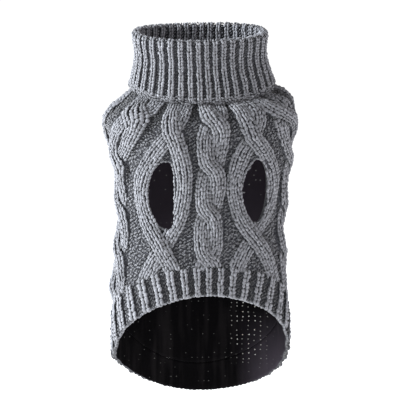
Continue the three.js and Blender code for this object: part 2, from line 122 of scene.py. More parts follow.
@dataclass(frozen=True)
class BodyForm:
    """The worn form of the sweater's body, at the outer face of its ground cloth."""

    sections: tuple[Section, ...] = (
        Section(16, 52.6, 33.6, 33.6),
        Section(10, 54.6, 34, 34.6),
        Section(5, 61, 38.2, 37.6),
        Section(0, 68.4, 43, 41.5),
        Section(-6, 73.5, 46.4, 44),
        Section(-13, 75.4, 48.2, 45.6),
        Section(-22, 74.2, 49, 46.2),
        Section(-36, 71.2, 48.8, 46.6),
        Section(-56, 68.2, 47.6, 46),
        Section(-80, 65.3, 45.6, 45),
        Section(-104, 64.2, 44, 44.6),
        Section(-128, 66.2, 44, 46),
        Section(-152, 68.4, 45, 47.2),
        Section(-176, 70, 46.4, 48),
        Section(-210, 70.6, 47.4, 48),
        Section(-244, 69.6, 47.4, 47),
    )
    power: float = 2.4
    flattening: float = 0.1
    neck_seam: float = 14
    neck_dip: float = 6
    neck_scoop: float = 3
    dip_ends: float = -30
    shoulder_tilt: float = 5.2
    shoulder_shift: float = 0.4
    tilt_ends: float = -40
    hem_side: float = -206.6
    belly_arch: float = 53.6
    back_drop: float = 31.3
    back_fullness: float = 0.34
    back_skew: float = 9
    hem_corner: float = 0.2
    band_height: float = 22
    band_side_extra: float = 14
    rib_lean: float = 8

    def angle(self, deg: np.ndarray) -> np.ndarray:
        """The section's own angle at a place given in degrees of arc."""
        arc = np.radians(deg)
        return arc - self.flattening * np.sin(2 * arc)

    def squarish(self, angle: np.ndarray) -> tuple[np.ndarray, np.ndarray]:
        """Shares of the half width and of the depth at an angle of the flattened round."""
        x, y = np.sin(angle), np.cos(angle)
        size = (np.abs(x) ** self.power + np.abs(y) ** self.power) ** (-1 / self.power)
        return x * size, y * size

    def dip(self, cosine: np.ndarray) -> np.ndarray:
        """How much lower the neckline lies in front and higher behind."""
        return -self.neck_dip * cosine - self.neck_scoop * cosine**2

    def column(self, name: str, h: np.ndarray) -> np.ndarray:
        """One column of the table of sections, read at h."""
        keys = np.array([section.h for section in self.sections])
        return along(keys, np.array([getattr(section, name) for section in self.sections]), h)

    def height(self, deg: np.ndarray, h: np.ndarray) -> np.ndarray:
        """The height of the place that the sections put at h."""
        angle = self.angle(deg)
        dipped = self.dip(np.cos(angle)) * smooth(h, self.dip_ends, self.neck_seam)
        tilted = smooth(h, self.tilt_ends, 0) * (1 - smooth(h, 0, self.neck_seam))
        return h + dipped + self.shoulder_tilt * np.sin(angle) * tilted

    def point(self, deg: np.ndarray, h: np.ndarray) -> np.ndarray:
        """A point of the ground cloth's outer face."""
        deg, h = np.broadcast_arrays(np.asarray(deg, float), np.asarray(h, float))
        angle = self.angle(deg)
        x, y = self.squarish(angle)
        depth = mix(self.column("back", h), self.column("front", h), smooth(np.cos(angle), -0.5, 0.5))
        shift = smooth(h, self.tilt_ends, -12) * (1 - smooth(h, -6, 10)) * self.shoulder_shift
        return np.stack([self.column("half", h) * x + shift, -depth * y, self.height(deg, h)], axis=-1)

    def normal(self, deg: np.ndarray, h: np.ndarray) -> np.ndarray:
        """The ground cloth's outward normal."""
        step = 0.5
        round_it = self.point(deg + step, h) - self.point(deg - step, h)
        up = self.point(deg, h + step) - self.point(deg, h - step)
        return unit(np.cross(round_it, up))

    def raised(self, deg: np.ndarray, h: np.ndarray, out: np.ndarray) -> np.ndarray:
        """A point that lies out beyond the ground cloth's face."""
        return self.point(deg, h) + self.normal(deg, h) * np.asarray(out)[..., None]

    def hem(self, deg: np.ndarray) -> np.ndarray:
        """The height of the lower edge: arched over the belly and long behind."""
        before = np.cos(self.angle(deg))
        behind = -np.cos(self.angle(deg + self.back_skew))
        before = (before + np.hypot(before, self.hem_corner)) / 2
        behind = ((behind + np.hypot(behind, self.hem_corner)) / 2) ** 2
        drop = behind * (1 + self.back_fullness * (1 - behind))
        return self.hem_side + self.belly_arch * before - self.back_drop * drop

    def band_top(self, deg: np.ndarray) -> np.ndarray:
        """The height of the seam between a panel and its hem band."""
        side = np.sin(self.angle(deg)) ** 2
        return self.hem(deg) + self.band_height + self.band_side_extra * side


@dataclass(frozen=True)
class Cable:
    """A cable of two strands that swing apart and cross again every pitch."""

    at_neck: float
    below: float
    swing: float = 6.2
    half: float = 6.5
    pitch: float = 36.8
    crossing: float = -13.3
    lift: float = 3.1
    over: float = 1.8
    wide: bool = False
    sharpness: float = 1.6
    swing_above: float = 5.4
    pitch_above: float = 56
    mm_in_a_degree: float = 1.1
    drawn_to: float = -45

    def strand(
        self, side: int, middle: np.ndarray, z: np.ndarray
    ) -> tuple[np.ndarray, np.ndarray, np.ndarray]:
        """Where one strand lies, how high it rises and how wide it is.

        Args:
            side: -1 for the strand that is in front where they cross, or 1.
            middle: the cable's middle there, in degrees.
            z: the heights asked for.

        Returns:
            The strand's places in degrees, its rises and half its widths in degrees, which are
            the greater the more it slants.
        """
        above = self.wide & (z > self.crossing)
        swing = np.where(above, self.swing_above, self.swing)
        pitch = np.where(above, self.pitch_above, self.pitch)
        turn = np.pi * (self.crossing - z) / pitch + np.pi / 2
        bent = np.tanh(self.sharpness * np.cos(turn))
        steepness = (1 - bent**2) * self.sharpness * np.sin(turn) / math.tanh(self.sharpness)
        slant = steepness * swing * self.mm_in_a_degree * np.pi / pitch
        nearness = np.sin(turn) ** 5 if self.wide else np.sin(turn)
        at = middle + side * swing * bent / math.tanh(self.sharpness)
        return at, self.lift - side * self.over * nearness, self.half * np.hypot(1, slant)


def oval(
    at_neck: float, below: float, crossing: float = -24, pitch: float = 90, swing: float = 15,
    drawn_to: float = -45,
) -> Cable:
    """A cable whose strands open into long ovals."""
    return Cable(
        at_neck, below, swing, 6, pitch, crossing, over=1.6, wide=True, sharpness=1e-3,
        drawn_to=drawn_to,
    )


class Knot(NamedTuple):
    """A place in the pattern: its degrees from the chest down, and at the neck."""

    below: float
    at_neck: float


@dataclass(frozen=True)
class CablePattern:
    """The cables round the body and their rise over its ground cloth."""

    form: BodyForm = BodyForm()
    cables: tuple[Cable, ...] = (
        Cable(3.6, -0.6, drawn_to=-110),
        oval(-25, -38, crossing=-22, pitch=94, swing=16.6, drawn_to=-80),
        oval(30, 38, crossing=-27, pitch=80, swing=17.2, drawn_to=-75),
        Cable(-54, -84, 8.5, crossing=-10, drawn_to=-68),
        Cable(53, 82, 8.5, crossing=-10, drawn_to=-60),
        oval(-101, -130, drawn_to=-75),
        oval(101, 130, drawn_to=-75),
        Cable(180, 180),
    )
    knots: tuple[Knot, ...] = (
        Knot(0, 0),
        Knot(38, 27),
        Knot(65, 38.5),
        Knot(80, 53),
        Knot(130, 101),
        Knot(180, 180),
    )
    side_seam: Knot = Knot(65, 38.5)
    seam_drawn_to: float = -70
    draw_in_top: float = 5
    draw_in_end: float = -45
    squareness: float = 0.45
    fade_neck: float = 16
    fade_hem: float = 20
    share_at_hem: float = 0.3
    creases: tuple[Crease, ...] = (
        Crease(-61, -70, 4, 62, 6, 1.6),
        Crease(64, -96, -3, 74, 6, 1.8),
        Crease(-100, -52, -14, 48, 9, 1.6),
        Crease(104, -60, 18, 52, 9, 1.5),
        Crease(156, -40, -20, 40, 8, 1.3),
        Crease(-152, -118, 22, 56, 10, 1.4),
        Crease(147, -142, -12, 48, 9, 1.3),
        Crease(-44, -8, 30, 26, 6, 1.4),
        Crease(46, -4, -34, 28, 6, 1.5),
    )
    wave: float = 0.45

    def drawn(
        self, at_neck: float, below: float, h: np.ndarray, drawn_to: float | None = None
    ) -> np.ndarray:
        """A place in the pattern in degrees, at h.

        Args:
            at_neck: the place at the neck.
            below: the place on the chest and from there down.
            h: the heights asked for.
            drawn_to: how far down it is drawn together, if not like the rest of the pattern.

        Returns:
            The places in degrees.
        """
        lowest = self.draw_in_end if drawn_to is None else drawn_to
        return mix(below, at_neck, smooth(h, lowest, self.draw_in_top))

    def middle(self, cable: Cable, h: np.ndarray) -> np.ndarray:
        """Where a cable's middle runs, in degrees."""
        return self.drawn(cable.at_neck, cable.below, h, cable.drawn_to)

    def at_neck(self, below: float) -> float:
        """The place at the neck of what lies at a place below, in degrees."""
        size = np.interp(abs(below), [knot.below for knot in self.knots], [knot.at_neck for knot in self.knots])
        return math.copysign(float(size), below)

    def seam(self, h: np.ndarray) -> np.ndarray:
        """Where the side seams run, in degrees."""
        return self.drawn(self.side_seam.at_neck, self.side_seam.below, h, self.seam_drawn_to)

    def share(self, deg: np.ndarray, h: np.ndarray) -> np.ndarray:
        """The share of its full height that a cable has between neck seam and hem band."""
        top = self.form.neck_seam
        from_neck = 1 - smooth(h, top - self.fade_neck, top)
        from_band = smooth(h - self.form.band_top(deg), 0, self.fade_hem)
        return from_neck * mix(self.share_at_hem, 1, from_band)

    def relief(self, deg: np.ndarray, h: np.ndarray) -> np.ndarray:
        """The cables' rise over the ground cloth."""
        z = self.form.height(deg, h)
        rise = np.zeros(np.shape(z))
        for cable in self.cables:
            for side in (-1, 1):
                at, lift, half = cable.strand(side, self.middle(cable, h), z)
                apart = np.abs(deg - at) % 360
                apart = np.minimum(apart, 360 - apart) / half
                rise = np.maximum(rise, lift * np.clip(1 - apart**2, 0, 1) ** self.squareness)
        return rise * self.share(deg, h)

    def unevenness(self, deg: np.ndarray, h: np.ndarray) -> np.ndarray:
        """How far the cloth itself stands out or in: creases, and a slow wave all over."""
        out = self.wave * np.sin(np.radians(deg * 5 + 30)) * np.sin(h / 17)
        out = out + self.wave * np.sin(np.radians(deg * 3 - 70) + h / 29)
        for crease in self.creases:
            round_it = ((deg - crease.deg + 180) % 360 - 180) * math.radians(60)
            down = h - crease.h
            turn = math.radians(crease.slant)
            across = round_it * math.cos(turn) + down * math.sin(turn)
            ahead = down * math.cos(turn) - round_it * math.sin(turn)
            out = out - crease.depth * np.exp(-((across / crease.width) ** 2)) * np.exp(
                -((2 * ahead / crease.length) ** 4)
            )
        return out * (1 - smooth(h, -6, 12))


class StitchKind(Enum):
    """What a stitch shows on the face: two legs, a bump or a bead of an edge."""

    KNIT = "knit"
    PURL = "purl"
    BEAD = "bead"


class Ring(NamedTuple):
    """A ring of a stitch's yarn: its middle and its radii in the cloth's plane and out of it."""

    x: float
    y: float
    z: float
    flat: float
    out: float


@dataclass(frozen=True)
class YarnLoop:
    """A plump short length of yarn, pointed at both ends, in the frame of its stitch.

    The rings are given for a nominal stitch, whose wale and row are the units of the points.
    """

    rings: tuple[Ring, ...]
    sides: int = 6
    wale: float = 4.1
    row: float = 3.0

    def points(self) -> np.ndarray:
        """The points: a tip, the rings and the other tip, in wales, rows and millimetres."""
        middles = np.array([[ring.x, ring.y, ring.z] for ring in self.rings])
        heading = unit(np.gradient(middles, axis=0))
        first = unit(np.cross([0.0, 0.0, 1.0], heading))
        turns = np.arange(self.sides) * 2 * math.pi / self.sides
        points = [middles[:1]]
        for middle, across, ring in zip(middles[1:-1], first[1:-1], self.rings[1:-1]):
            flat = np.outer(np.cos(turns) * ring.flat, across)
            out = np.outer(np.sin(turns) * ring.out, [0.0, 0.0, 1.0])
            points.append(middle + flat + out)
        points.append(middles[-1:])
        return np.concatenate(points) / [self.wale, self.row, 1.0]

    def faces(self) -> tuple[list[list[int]], list[list[tuple[float, float]]]]:
        """The faces, by their points, and each face's places along and round the yarn."""
        n, last = self.sides, len(self.rings) - 1
        end = 1 + (last - 1) * n
        faces, places = [], []
        for k in range(last):
            for i in range(n):
                j = (i + 1) % n
                low, high = 1 + (k - 1) * n, 1 + k * n
                u, v = k / last, (k + 1) / last
                a, b = i / n, (i + 1) / n
                if k == 0:
                    faces.append([0, high + j, high + i])
                    places.append([(u, (a + b) / 2), (v, b), (v, a)])
                elif k == last - 1:
                    faces.append([low + i, low + j, end])
                    places.append([(u, a), (u, b), (v, (a + b) / 2)])
                else:
                    faces.append([low + i, low + j, high + j, high + i])
                    places.append([(u, a), (u, b), (v, b), (v, a)])
        return faces, places


def knit_leg(side: int) -> YarnLoop:
    """One leg of a knit stitch: it leans out towards its upper end and dips at both."""
    steps = np.linspace(-1, 1, 5)
    flats = (0, 0.8, 0.98, 0.84, 0)
    outs = (0, 0.62, 0.85, 0.72, 0)
    return YarnLoop(
        tuple(
            Ring(side * (1.03 + 0.38 * s), 2.3 * s, 0.75 * (1 - s * s), flat, out)
            for s, flat, out in zip(steps, flats, outs)
        )
    )


def purl_bump(arch: int) -> YarnLoop:
    """A bump of a purl stitch: a short curl that arches up on its wale, or down beside it."""
    steps = np.linspace(-1, 1, 5)
    flats = (0, 0.56, 0.68, 0.56, 0)
    outs = (0, 0.5, 0.66, 0.5, 0)
    beside = (1 - arch) * 1.03
    return YarnLoop(
        tuple(
            Ring(
                beside + 1.3 * s,
                arch * (0.3 + 0.8 * math.cos(math.pi * s * 0.75)) + 0.5 * s,
                0.75 * (1 - s * s),
                flat,
                out,
            )
            for s, flat, out in zip(steps, flats, outs)
        ),
        sides=5,
    )


def edge_bead() -> YarnLoop:
    """A bead of a cast-off or cast-on edge, along the edge."""
    steps = np.linspace(-1, 1, 5)
    flats = (0, 0.85, 1.05, 0.85, 0)
    return YarnLoop(tuple(Ring(0.35 * s, 1.95 * s, 0, flat, flat) for s, flat in zip(steps, flats)))


LOOPS: dict[StitchKind, tuple[YarnLoop, ...]] = {
    StitchKind.KNIT: (knit_leg(-1), knit_leg(1)),
    StitchKind.PURL: (purl_bump(1), purl_bump(-1)),
    StitchKind.BEAD: (edge_bead(),),
}


@dataclass
class Stitches:
    """Places of stitches: each has a middle, two directions, a size and a place on the body."""

    centre: np.ndarray
    ahead: np.ndarray
    out: np.ndarray
    width: np.ndarray
    row: np.ndarray
    deg: np.ndarray
    h: np.ndarray
    rise: np.ndarray
    # light: painted light, less where the stitch lies in shade; it is multiplied into the yarn's colour.
    light: np.ndarray

    def only(self, keep: np.ndarray) -> "Stitches":
        """The stitches that are kept."""
        return Stitches(*(getattr(self, one.name)[keep] for one in fields(self)))


def stitches_along(
    points: np.ndarray,
    outs: np.ndarray,
    widths: np.ndarray,
    row: float,
    deg: np.ndarray,
    h: np.ndarray,
    rise: np.ndarray,
    fitted: bool = True,
) -> Stitches:
    """Stitches set one after another along a path.

    Args:
        points: the path's points, which the stitches follow with their upper ends ahead.
        outs: the outward direction at each point.
        widths: the wale's width at each point.
        row: the height of a row.
        deg: the place round the body at each point.
        h: the height of the section at each point.
        rise: the rise over the ground cloth at each point.
        fitted: whether the rows are stretched to fill the path, or start at its last point.

    Returns:
        The stitches, in the path's order.
    """
    steps = np.linalg.norm(np.diff(points, axis=0), axis=1)
    run = np.concatenate([[0.0], np.cumsum(steps)])
    count = max(1, int(round(run[-1] / row)))
    if fitted:
        row = run[-1] / count
        at = (np.arange(count) + 0.5) * row
    else:
        at = run[-1] - (np.arange(int(run[-1] / row)) + 0.5) * row
    heading = unit(np.gradient(points, run, axis=0))

    def read(values: np.ndarray) -> np.ndarray:
        if values.ndim == 1:
            return np.interp(at, run, values)
        return np.stack([np.interp(at, run, values[:, k]) for k in range(values.shape[1])], axis=1)

    return Stitches(
        read(points), unit(read(heading)), unit(read(outs)), read(widths),
        np.full(len(at), row), read(deg), read(h), read(rise), np.ones(len(at)),
    )


@dataclass(frozen=True)
class FaceTable:
    """The faces of many like meshes: corners, where each face starts, and its material."""

    corners: np.ndarray
    starts: np.ndarray
    materials: np.ndarray


def make_object(
    name: str, points: np.ndarray, faces: FaceTable, materials: list[bpy.types.Material]
) -> bpy.types.Object:
    """A smooth object from points in millimetres.

    Args:
        name: the object's name.
        points: the points.
        faces: the faces.
        materials: the materials that the faces name by number.

    Returns:
        The object, in the scene.
    """
    mesh = bpy.data.meshes.new(name)
    mesh.vertices.add(len(points))
    mesh.vertices.foreach_set("co", (points * MM).astype(np.float32).ravel())
    mesh.loops.add(len(faces.corners))
    mesh.loops.foreach_set("vertex_index", faces.corners.astype(np.int32))
    mesh.polygons.add(len(faces.starts))
    mesh.polygons.foreach_set("loop_start", faces.starts.astype(np.int32))
    mesh.polygons.foreach_set("material_index", faces.materials.astype(np.int32))
    mesh.polygons.foreach_set("use_smooth", np.ones(len(faces.starts), bool))
    mesh.update(calc_edges=True)
    for material in materials:
        mesh.materials.append(material)
    made = bpy.data.objects.new(name, mesh)
    bpy.context.scene.collection.objects.link(made)
    return made


class YarnMesh:
    """Stitches joined in one mesh, each a little different from the next."""

    lean = 0.12
    stray = 0.17
    swell = 0.1
    shade_spread = 0.09

    def __init__(self, name: str, seed: int) -> None:
        """Starts an empty mesh, with its own seed for the small differences."""
        self.name = name
        self.draw = np.random.default_rng(seed)
        self.points: list[np.ndarray] = []
        self.corners: list[np.ndarray] = []
        self.sizes: list[np.ndarray] = []
        self.places: list[np.ndarray] = []
        self.shades: list[np.ndarray] = []
        self.depths: list[np.ndarray] = []
        self.owners: list[np.ndarray] = []
        self.count = 0
        self.loops = 0

    def add(
        self, kind: StitchKind, stitches: Stitches, shade: float = 1.0, looseness: float = 1.0,
        thickness: float = 1.0,
    ) -> None:
        """Adds stitches of one kind.

        Args:
            kind: what each shows.
            stitches: their places.
            shade: painted light or shade on their yarn, 1 being the usual, which paints none.
            looseness: how uneven they are, 1 being the usual.
            thickness: how far they stand out, 1 being the usual.
        """
        for loop in LOOPS[kind]:
            self.add_loop(loop, stitches, shade, looseness, thickness)

    def add_loop(
        self, loop: YarnLoop, stitches: Stitches, shade: float, looseness: float, thickness: float
    ) -> None:
        """Adds one length of yarn at each stitch, with the same arguments as add."""
        n = len(stitches.centre)
        if n == 0:
            return
        across = unit(np.cross(stitches.ahead, stitches.out))
        turn = self.draw.normal(0, self.lean * looseness, n)[:, None]
        side = across * np.cos(turn) + stitches.ahead * np.sin(turn)
        ahead = stitches.ahead * np.cos(turn) - across * np.sin(turn)
        swell = 1 + self.draw.normal(0, self.swell * looseness, (n, 3)).clip(-0.25, 0.25)
        stray = self.draw.normal(0, self.stray * looseness, (n, 3)).clip(-0.5, 0.5)
        local = loop.points()
        x = local[None, :, 0] * (stitches.width * swell[:, 0])[:, None]
        y = local[None, :, 1] * (stitches.row * swell[:, 1])[:, None]
        z = local[None, :, 2] * swell[:, 2:3] * thickness
        made = (
            (stitches.centre + stray)[:, None, :]
            + x[..., None] * side[:, None, :]
            + y[..., None] * ahead[:, None, :]
            + z[..., None] * stitches.out[:, None, :]
        )
        faces, places = loop.faces()
        corners = np.array([corner for face in faces for corner in face])
        starts = self.count + np.arange(n)[:, None] * len(local)
        self.corners.append((corners[None, :] + starts).ravel())
        self.sizes.append(np.tile([len(face) for face in faces], n))
        self.places.append(np.tile([place for face in places for place in face], (n, 1)))
        self.points.append(made.reshape(-1, 3))
        # Each stitch's tone is a random spread times the painted light or shade given and the painted light of
        # its place.
        tone = shade * (1 + self.draw.normal(0, self.shade_spread, n).clip(-0.3, 0.3)) * stitches.light
        self.shades.append(np.repeat(tone, len(local)))
        low, high = local[:, 2].min(), local[:, 2].max()
        self.depths.append(np.tile((local[:, 2] - low) / (high - low), n))
        self.owners.append(np.repeat(self.loops + np.arange(n), len(corners)))
        self.count += n * len(local)
        self.loops += n

    def build(self, material: bpy.types.Material) -> bpy.types.Object:
        """Makes the object, with its yarn's places, depths and shades for the material: the shades carry each
        stitch's random tone and its painted light and shade.
        """
        corners = np.concatenate(self.corners)
        sizes = np.concatenate(self.sizes)
        starts = np.concatenate([[0], np.cumsum(sizes)[:-1]])
        table = FaceTable(corners, starts, np.zeros(len(sizes), int))
        made = make_object(self.name, np.concatenate(self.points), table, [material])
        mesh = made.data
        # The shade attribute: the stitches' tones, which carry painted light and shade.
        for name, values in (("shade", self.shades), ("depth", self.depths)):
            attribute = mesh.attributes.new(name, "FLOAT", "POINT")
            attribute.data.foreach_set("value", np.concatenate(values).astype(np.float32))
        places = np.concatenate(self.places)
        yarn = mesh.uv_layers.new(name="YarnUV")
        yarn.data.foreach_set("uv", places.astype(np.float32).ravel())
        cells = math.ceil(math.sqrt(self.loops))
        index = np.concatenate(self.owners)
        cell = np.stack([index % cells, index // cells], axis=1)
        tiled = (cell + 0.08 + places * 0.84) / cells
        bake = mesh.uv_layers.new(name="OFBake")
        bake.data.foreach_set("uv", tiled.astype(np.float32).ravel())
        log.info("%s: %d lengths of yarn, %d faces", self.name, self.loops, len(sizes))
        return made


def grid_faces(number: np.ndarray) -> np.ndarray:
    """The four-cornered faces of a grid, facing out where rows go down and columns to the right.

    Args:
        number: the numbers of the grid's points, by row and column.

    Returns:
        The faces, a row each.
    """
    corners = (number[:-1, :-1], number[1:, :-1], number[1:, 1:], number[:-1, 1:])
    return np.stack(corners, axis=-1).reshape(-1, 4)


def closed_wall(
    name: str, outer: np.ndarray, inner: np.ndarray, materials: list[bpy.types.Material]
) -> bpy.types.Object:
    """A closed thin wall between two like grids of points, whose rows go down.

    Args:
        name: the object's name.
        outer: the outer points, by row and column.
        inner: the inner points.
        materials: the outer face's and the inner face's material.

    Returns:
        The object.
    """
    rows, columns = outer.shape[:2]
    number = np.arange(2 * rows * columns).reshape(2 * rows, columns)
    outside, inside = number[:rows], number[rows:][::-1]
    round_the_wall = np.concatenate([number, number[:1]])
    every = np.concatenate([
        grid_faces(round_the_wall),
        grid_faces(np.stack([inside[:, 0], outside[:, 0]], axis=1)),
        grid_faces(np.stack([outside[:, -1], inside[:, -1]], axis=1)),
    ])
    within = (every >= rows * columns).all(axis=1)
    table = FaceTable(every.ravel(), np.arange(len(every)) * 4, within.astype(int))
    points = np.concatenate([outer, inner[::-1]]).reshape(-1, 3)
    return make_object(name, points, table, materials)


def closed_ring(name: str, points: np.ndarray, material: bpy.types.Material) -> bpy.types.Object:
    """A ring whose section closes on itself.

    Args:
        name: the object's name.
        points: the points, a row for each place round the section and a column for each turn.
        material: the ring's material.

    Returns:
        The object.
    """
    rows, columns = points.shape[:2]
    number = np.pad(np.arange(rows * columns).reshape(rows, columns), ((0, 1), (0, 1)), mode="wrap")
    every = grid_faces(number)
    table = FaceTable(every.ravel(), np.arange(len(every)) * 4, np.zeros(len(every), int))
    return make_object(name, points.reshape(-1, 3), table, [material])


def dress(piece: bpy.types.Object, slot: str, *nodes: str) -> None:
    """Lets a piece ride on the body and hides the solids that it replaces."""
    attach(piece, BODY)
    if nodes:
        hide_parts(*nodes)


@dataclass(frozen=True)
class LegHole:
    """A leg opening: an upright oval seen square on, 0.5 being the rounding of an ellipse."""

    deg: float
    z: float
    half_width: float
    half_height: float
    bow: float
    rounding: float
    reach: float = 24

    def axes(self, form: BodyForm) -> tuple[np.ndarray, np.ndarray, np.ndarray]:
        """The opening's middle, its direction across and its way out."""
        out = form.normal(np.array(self.deg), np.array(self.z)) * [1, 1, 0]
        out = unit(out)
        return form.point(self.deg, self.z), np.cross([0, 0, 1], out), out

    def outline(self, count: int, margin: float = 0) -> tuple[np.ndarray, np.ndarray]:
        """Points round the opening, across and up from its middle, moved out by a margin."""
        turn = np.arange(count) * 2 * math.pi / count
        rise = np.sin(turn)
        x = np.sign(np.cos(turn)) * (1 - rise**2) ** self.rounding * (self.half_width + margin)
        return x + self.bow * rise**2, rise * (self.half_height + margin)

    def holds(self, form: BodyForm, points: np.ndarray, margin: float) -> np.ndarray:
        """Whether each point lies in the opening, widened by a margin."""
        middle, across, out = self.axes(form)
        apart = points - middle
        x, y = apart @ across, apart[..., 2]
        rise = np.clip(y / (self.half_height + margin), -1, 1)
        half = (self.half_width + margin) * (1 - rise**2) ** self.rounding
        inside = np.abs(x - self.bow * rise**2) < half
        return inside & (np.abs(apart @ out) < self.reach)

    def cutter(self, form: BodyForm, material: bpy.types.Material) -> bpy.types.Object:
        """A block through the wall, with the opening's outline."""
        middle, across, out = self.axes(form)
        x, y = self.outline(48)
        flat = middle + x[:, None] * across + y[:, None] * np.array([0, 0, 1])
        points = np.concatenate([flat + out * self.reach, flat - out * self.reach])
        n = len(x)
        sides = grid_faces(np.pad(np.arange(2 * n).reshape(2, n), ((0, 0), (0, 1)), mode="wrap"))
        corners = np.concatenate([np.arange(n), np.arange(2 * n - 1, n - 1, -1), sides.ravel()])
        starts = np.concatenate([[0, n], 2 * n + np.arange(n) * 4])
        table = FaceTable(corners, starts, np.zeros(len(starts), int))
        return make_object("leg_hole_cutter", points, table, [material])

    def on_body(self, form: BodyForm, x: np.ndarray, y: np.ndarray) -> np.ndarray:
        """Where on the body, in degrees, the points across and up from its middle lie."""
        middle, across, _ = self.axes(form)
        deg = self.deg + x
        for _ in range(5):
            miss = (form.point(deg, self.z + y) - middle) @ across - x
            deg = deg - miss
        return deg


@dataclass(frozen=True)
class Knitting:
    """The stitches of the cable panels."""

    pattern: CablePattern = CablePattern()
    leg_holes: tuple[LegHole, ...] = (
        LegHole(-38.8, -72.4, 11, 27.4, bow=4.6, rounding=0.4),
        LegHole(39.2, -70, 12, 25.8, bow=1, rounding=0.54),
    )
    row: float = 3.3
    ground_row: float = 2.95
    sink: float = 1.1
    shell_sink: float = 1.35
    inner: float = 2.9
    wales_in_strand: int = 3
    wander: float = 0.16
    ground_pitch: float = 3.9
    hidden_by: float = 0.7
    ground_under: float = 1.0
    shade_from: float = 0.35
    shade_depth: float = 2.9

    def heights(self) -> np.ndarray:
        """Close heights from below the lowest band seam up to the neck seam."""
        return np.arange(-212, self.pattern.form.neck_seam - NECK_EDGE_GAP, 0.5)

    def on_panels(self, stitches: Stitches, margin: float) -> np.ndarray:
        """Which stitches lie on a panel, above its hem band and outside the leg openings."""
        form = self.pattern.form
        keep = stitches.h > form.band_top(stitches.deg) - 0.4
        for hole in self.leg_holes:
            keep &= ~hole.holds(form, stitches.centre, margin)
        return keep

    def wale(
        self, deg: np.ndarray, h: np.ndarray, rise: np.ndarray, spacing: np.ndarray,
        slope: np.ndarray, row: float, fitted: bool,
    ) -> Stitches:
        """The stitches of one wale.

        Args:
            deg: the wale's places round the body, from the hem up.
            h: the heights of those places.
            rise: its rise over the ground cloth.
            spacing: its width in degrees.
            slope: how steeply the cloth falls off to the right there.
            row: the height of a row.
            fitted: whether the rows fill the wale evenly.

        Returns:
            The wale's stitches.
        """
        form = self.pattern.form
        chord = form.point(deg + 0.5, h) - form.point(deg - 0.5, h)
        in_a_degree = np.linalg.norm(chord, axis=-1)
        across = chord / in_a_degree[:, None]
        slope = slope / in_a_degree
        out = unit(form.normal(deg, h) + slope[:, None] * across)
        lift = rise - self.sink + self.pattern.unevenness(deg, h)
        points = form.raised(deg, h, lift)
        ahead = unit(np.gradient(points, axis=0))
        narrow = np.linalg.norm(np.cross(across, ahead), axis=-1)
        widths = spacing * in_a_degree * np.hypot(1, slope) * narrow
        return stitches_along(points, out, widths, row, deg, h, rise, fitted)

    def shaded(self, stitches: Stitches) -> Stitches:
        """The same stitches, with less light on them where higher cloth stands round them."""
        higher = np.zeros(len(stitches.deg))
        for reach in (2.2, 4.6):
            for turn in np.arange(8) * math.pi / 4:
                deg = stitches.deg + reach * math.cos(turn) / 1.1
                above = self.pattern.relief(deg, stitches.h + reach * math.sin(turn)) - stitches.rise
                higher += np.clip(above - self.shade_from, 0, None) / reach / 16
        return replace(stitches, light=np.exp(-self.shade_depth * higher))

    def strand_wales(self, cable: Cable, side: int) -> list[Stitches]:
        """The wales of one strand, without the stitches that another strand hides."""
        pattern = self.pattern
        h = self.heights()
        wales = []
        for wale in range(self.wales_in_strand):
            apart = (2 * wale + 1) / self.wales_in_strand - 1
            middle = pattern.middle(cable, h)
            deg = middle
            for _ in range(5):
                at, lift, half = cable.strand(side, middle, pattern.form.height(deg, h))
                deg = at + apart * half
            crown = (1 - apart**2) ** pattern.squareness
            share = pattern.share(deg, h)
            steep = pattern.squareness * 2 * apart / half / (1 - apart**2)
            rise = lift * crown * share
            phase = cable.below + 40 * side + 100 * wale
            deg = deg + self.wander * (np.sin(h / 9.7 + phase) + np.sin(h / 5.3 + 2 * phase))
            spacing = 2 * half / self.wales_in_strand
            made = self.wale(deg, h, rise, spacing, rise * steep, self.row, True)
            seen = made.rise > pattern.relief(made.deg, made.h) - self.hidden_by
            wales.append(self.shaded(made.only(seen & self.on_panels(made, 0.2))))
        return wales

    def ground_wale(self, below: float) -> Stitches:
        """A wale of the ground between the cables, given by its place from the chest down."""
        pattern = self.pattern
        h = self.heights()

        def place(at: float) -> np.ndarray:
            return pattern.drawn(pattern.at_neck(at), at, h)

        deg = place(below)
        spacing = np.abs(place(below + 0.5) - place(below - 0.5)) * self.ground_pitch
        level = np.zeros(len(h))
        made = self.wale(deg, h, level, spacing, level, self.ground_row, False)
        bare = pattern.relief(made.deg, made.h) < self.ground_under
        made = self.shaded(made.only(bare & self.on_panels(made, 0.6)))
        # Painted shade: the ground grows darker towards the collar, under which it lies.
        return replace(made, light=made.light * (1 - 0.5 * smooth(made.h, -16, 2)))

    def hole_edge(self, hole: LegHole) -> Stitches:
        """The edge stitches round a leg opening."""
        form = self.pattern.form
        x, y = hole.outline(240, 0.2)
        x, y = np.append(x, x[0]), np.append(y, y[0])
        deg, h = hole.on_body(form, x, y), hole.z + y
        rise = np.maximum(self.pattern.relief(deg, h) - 0.9, 0.2)
        points = form.raised(deg, h, rise - self.sink)
        widths = np.full(len(deg), 3.6)
        return stitches_along(points, form.normal(deg, h), widths, 3.3, deg, h, rise)

    def belly_side(self, stitches: Stitches) -> np.ndarray:
        """Which stitches lie between the side seams on the belly side."""
        return np.abs((stitches.deg + 180) % 360 - 180) < self.pattern.seam(stitches.h)


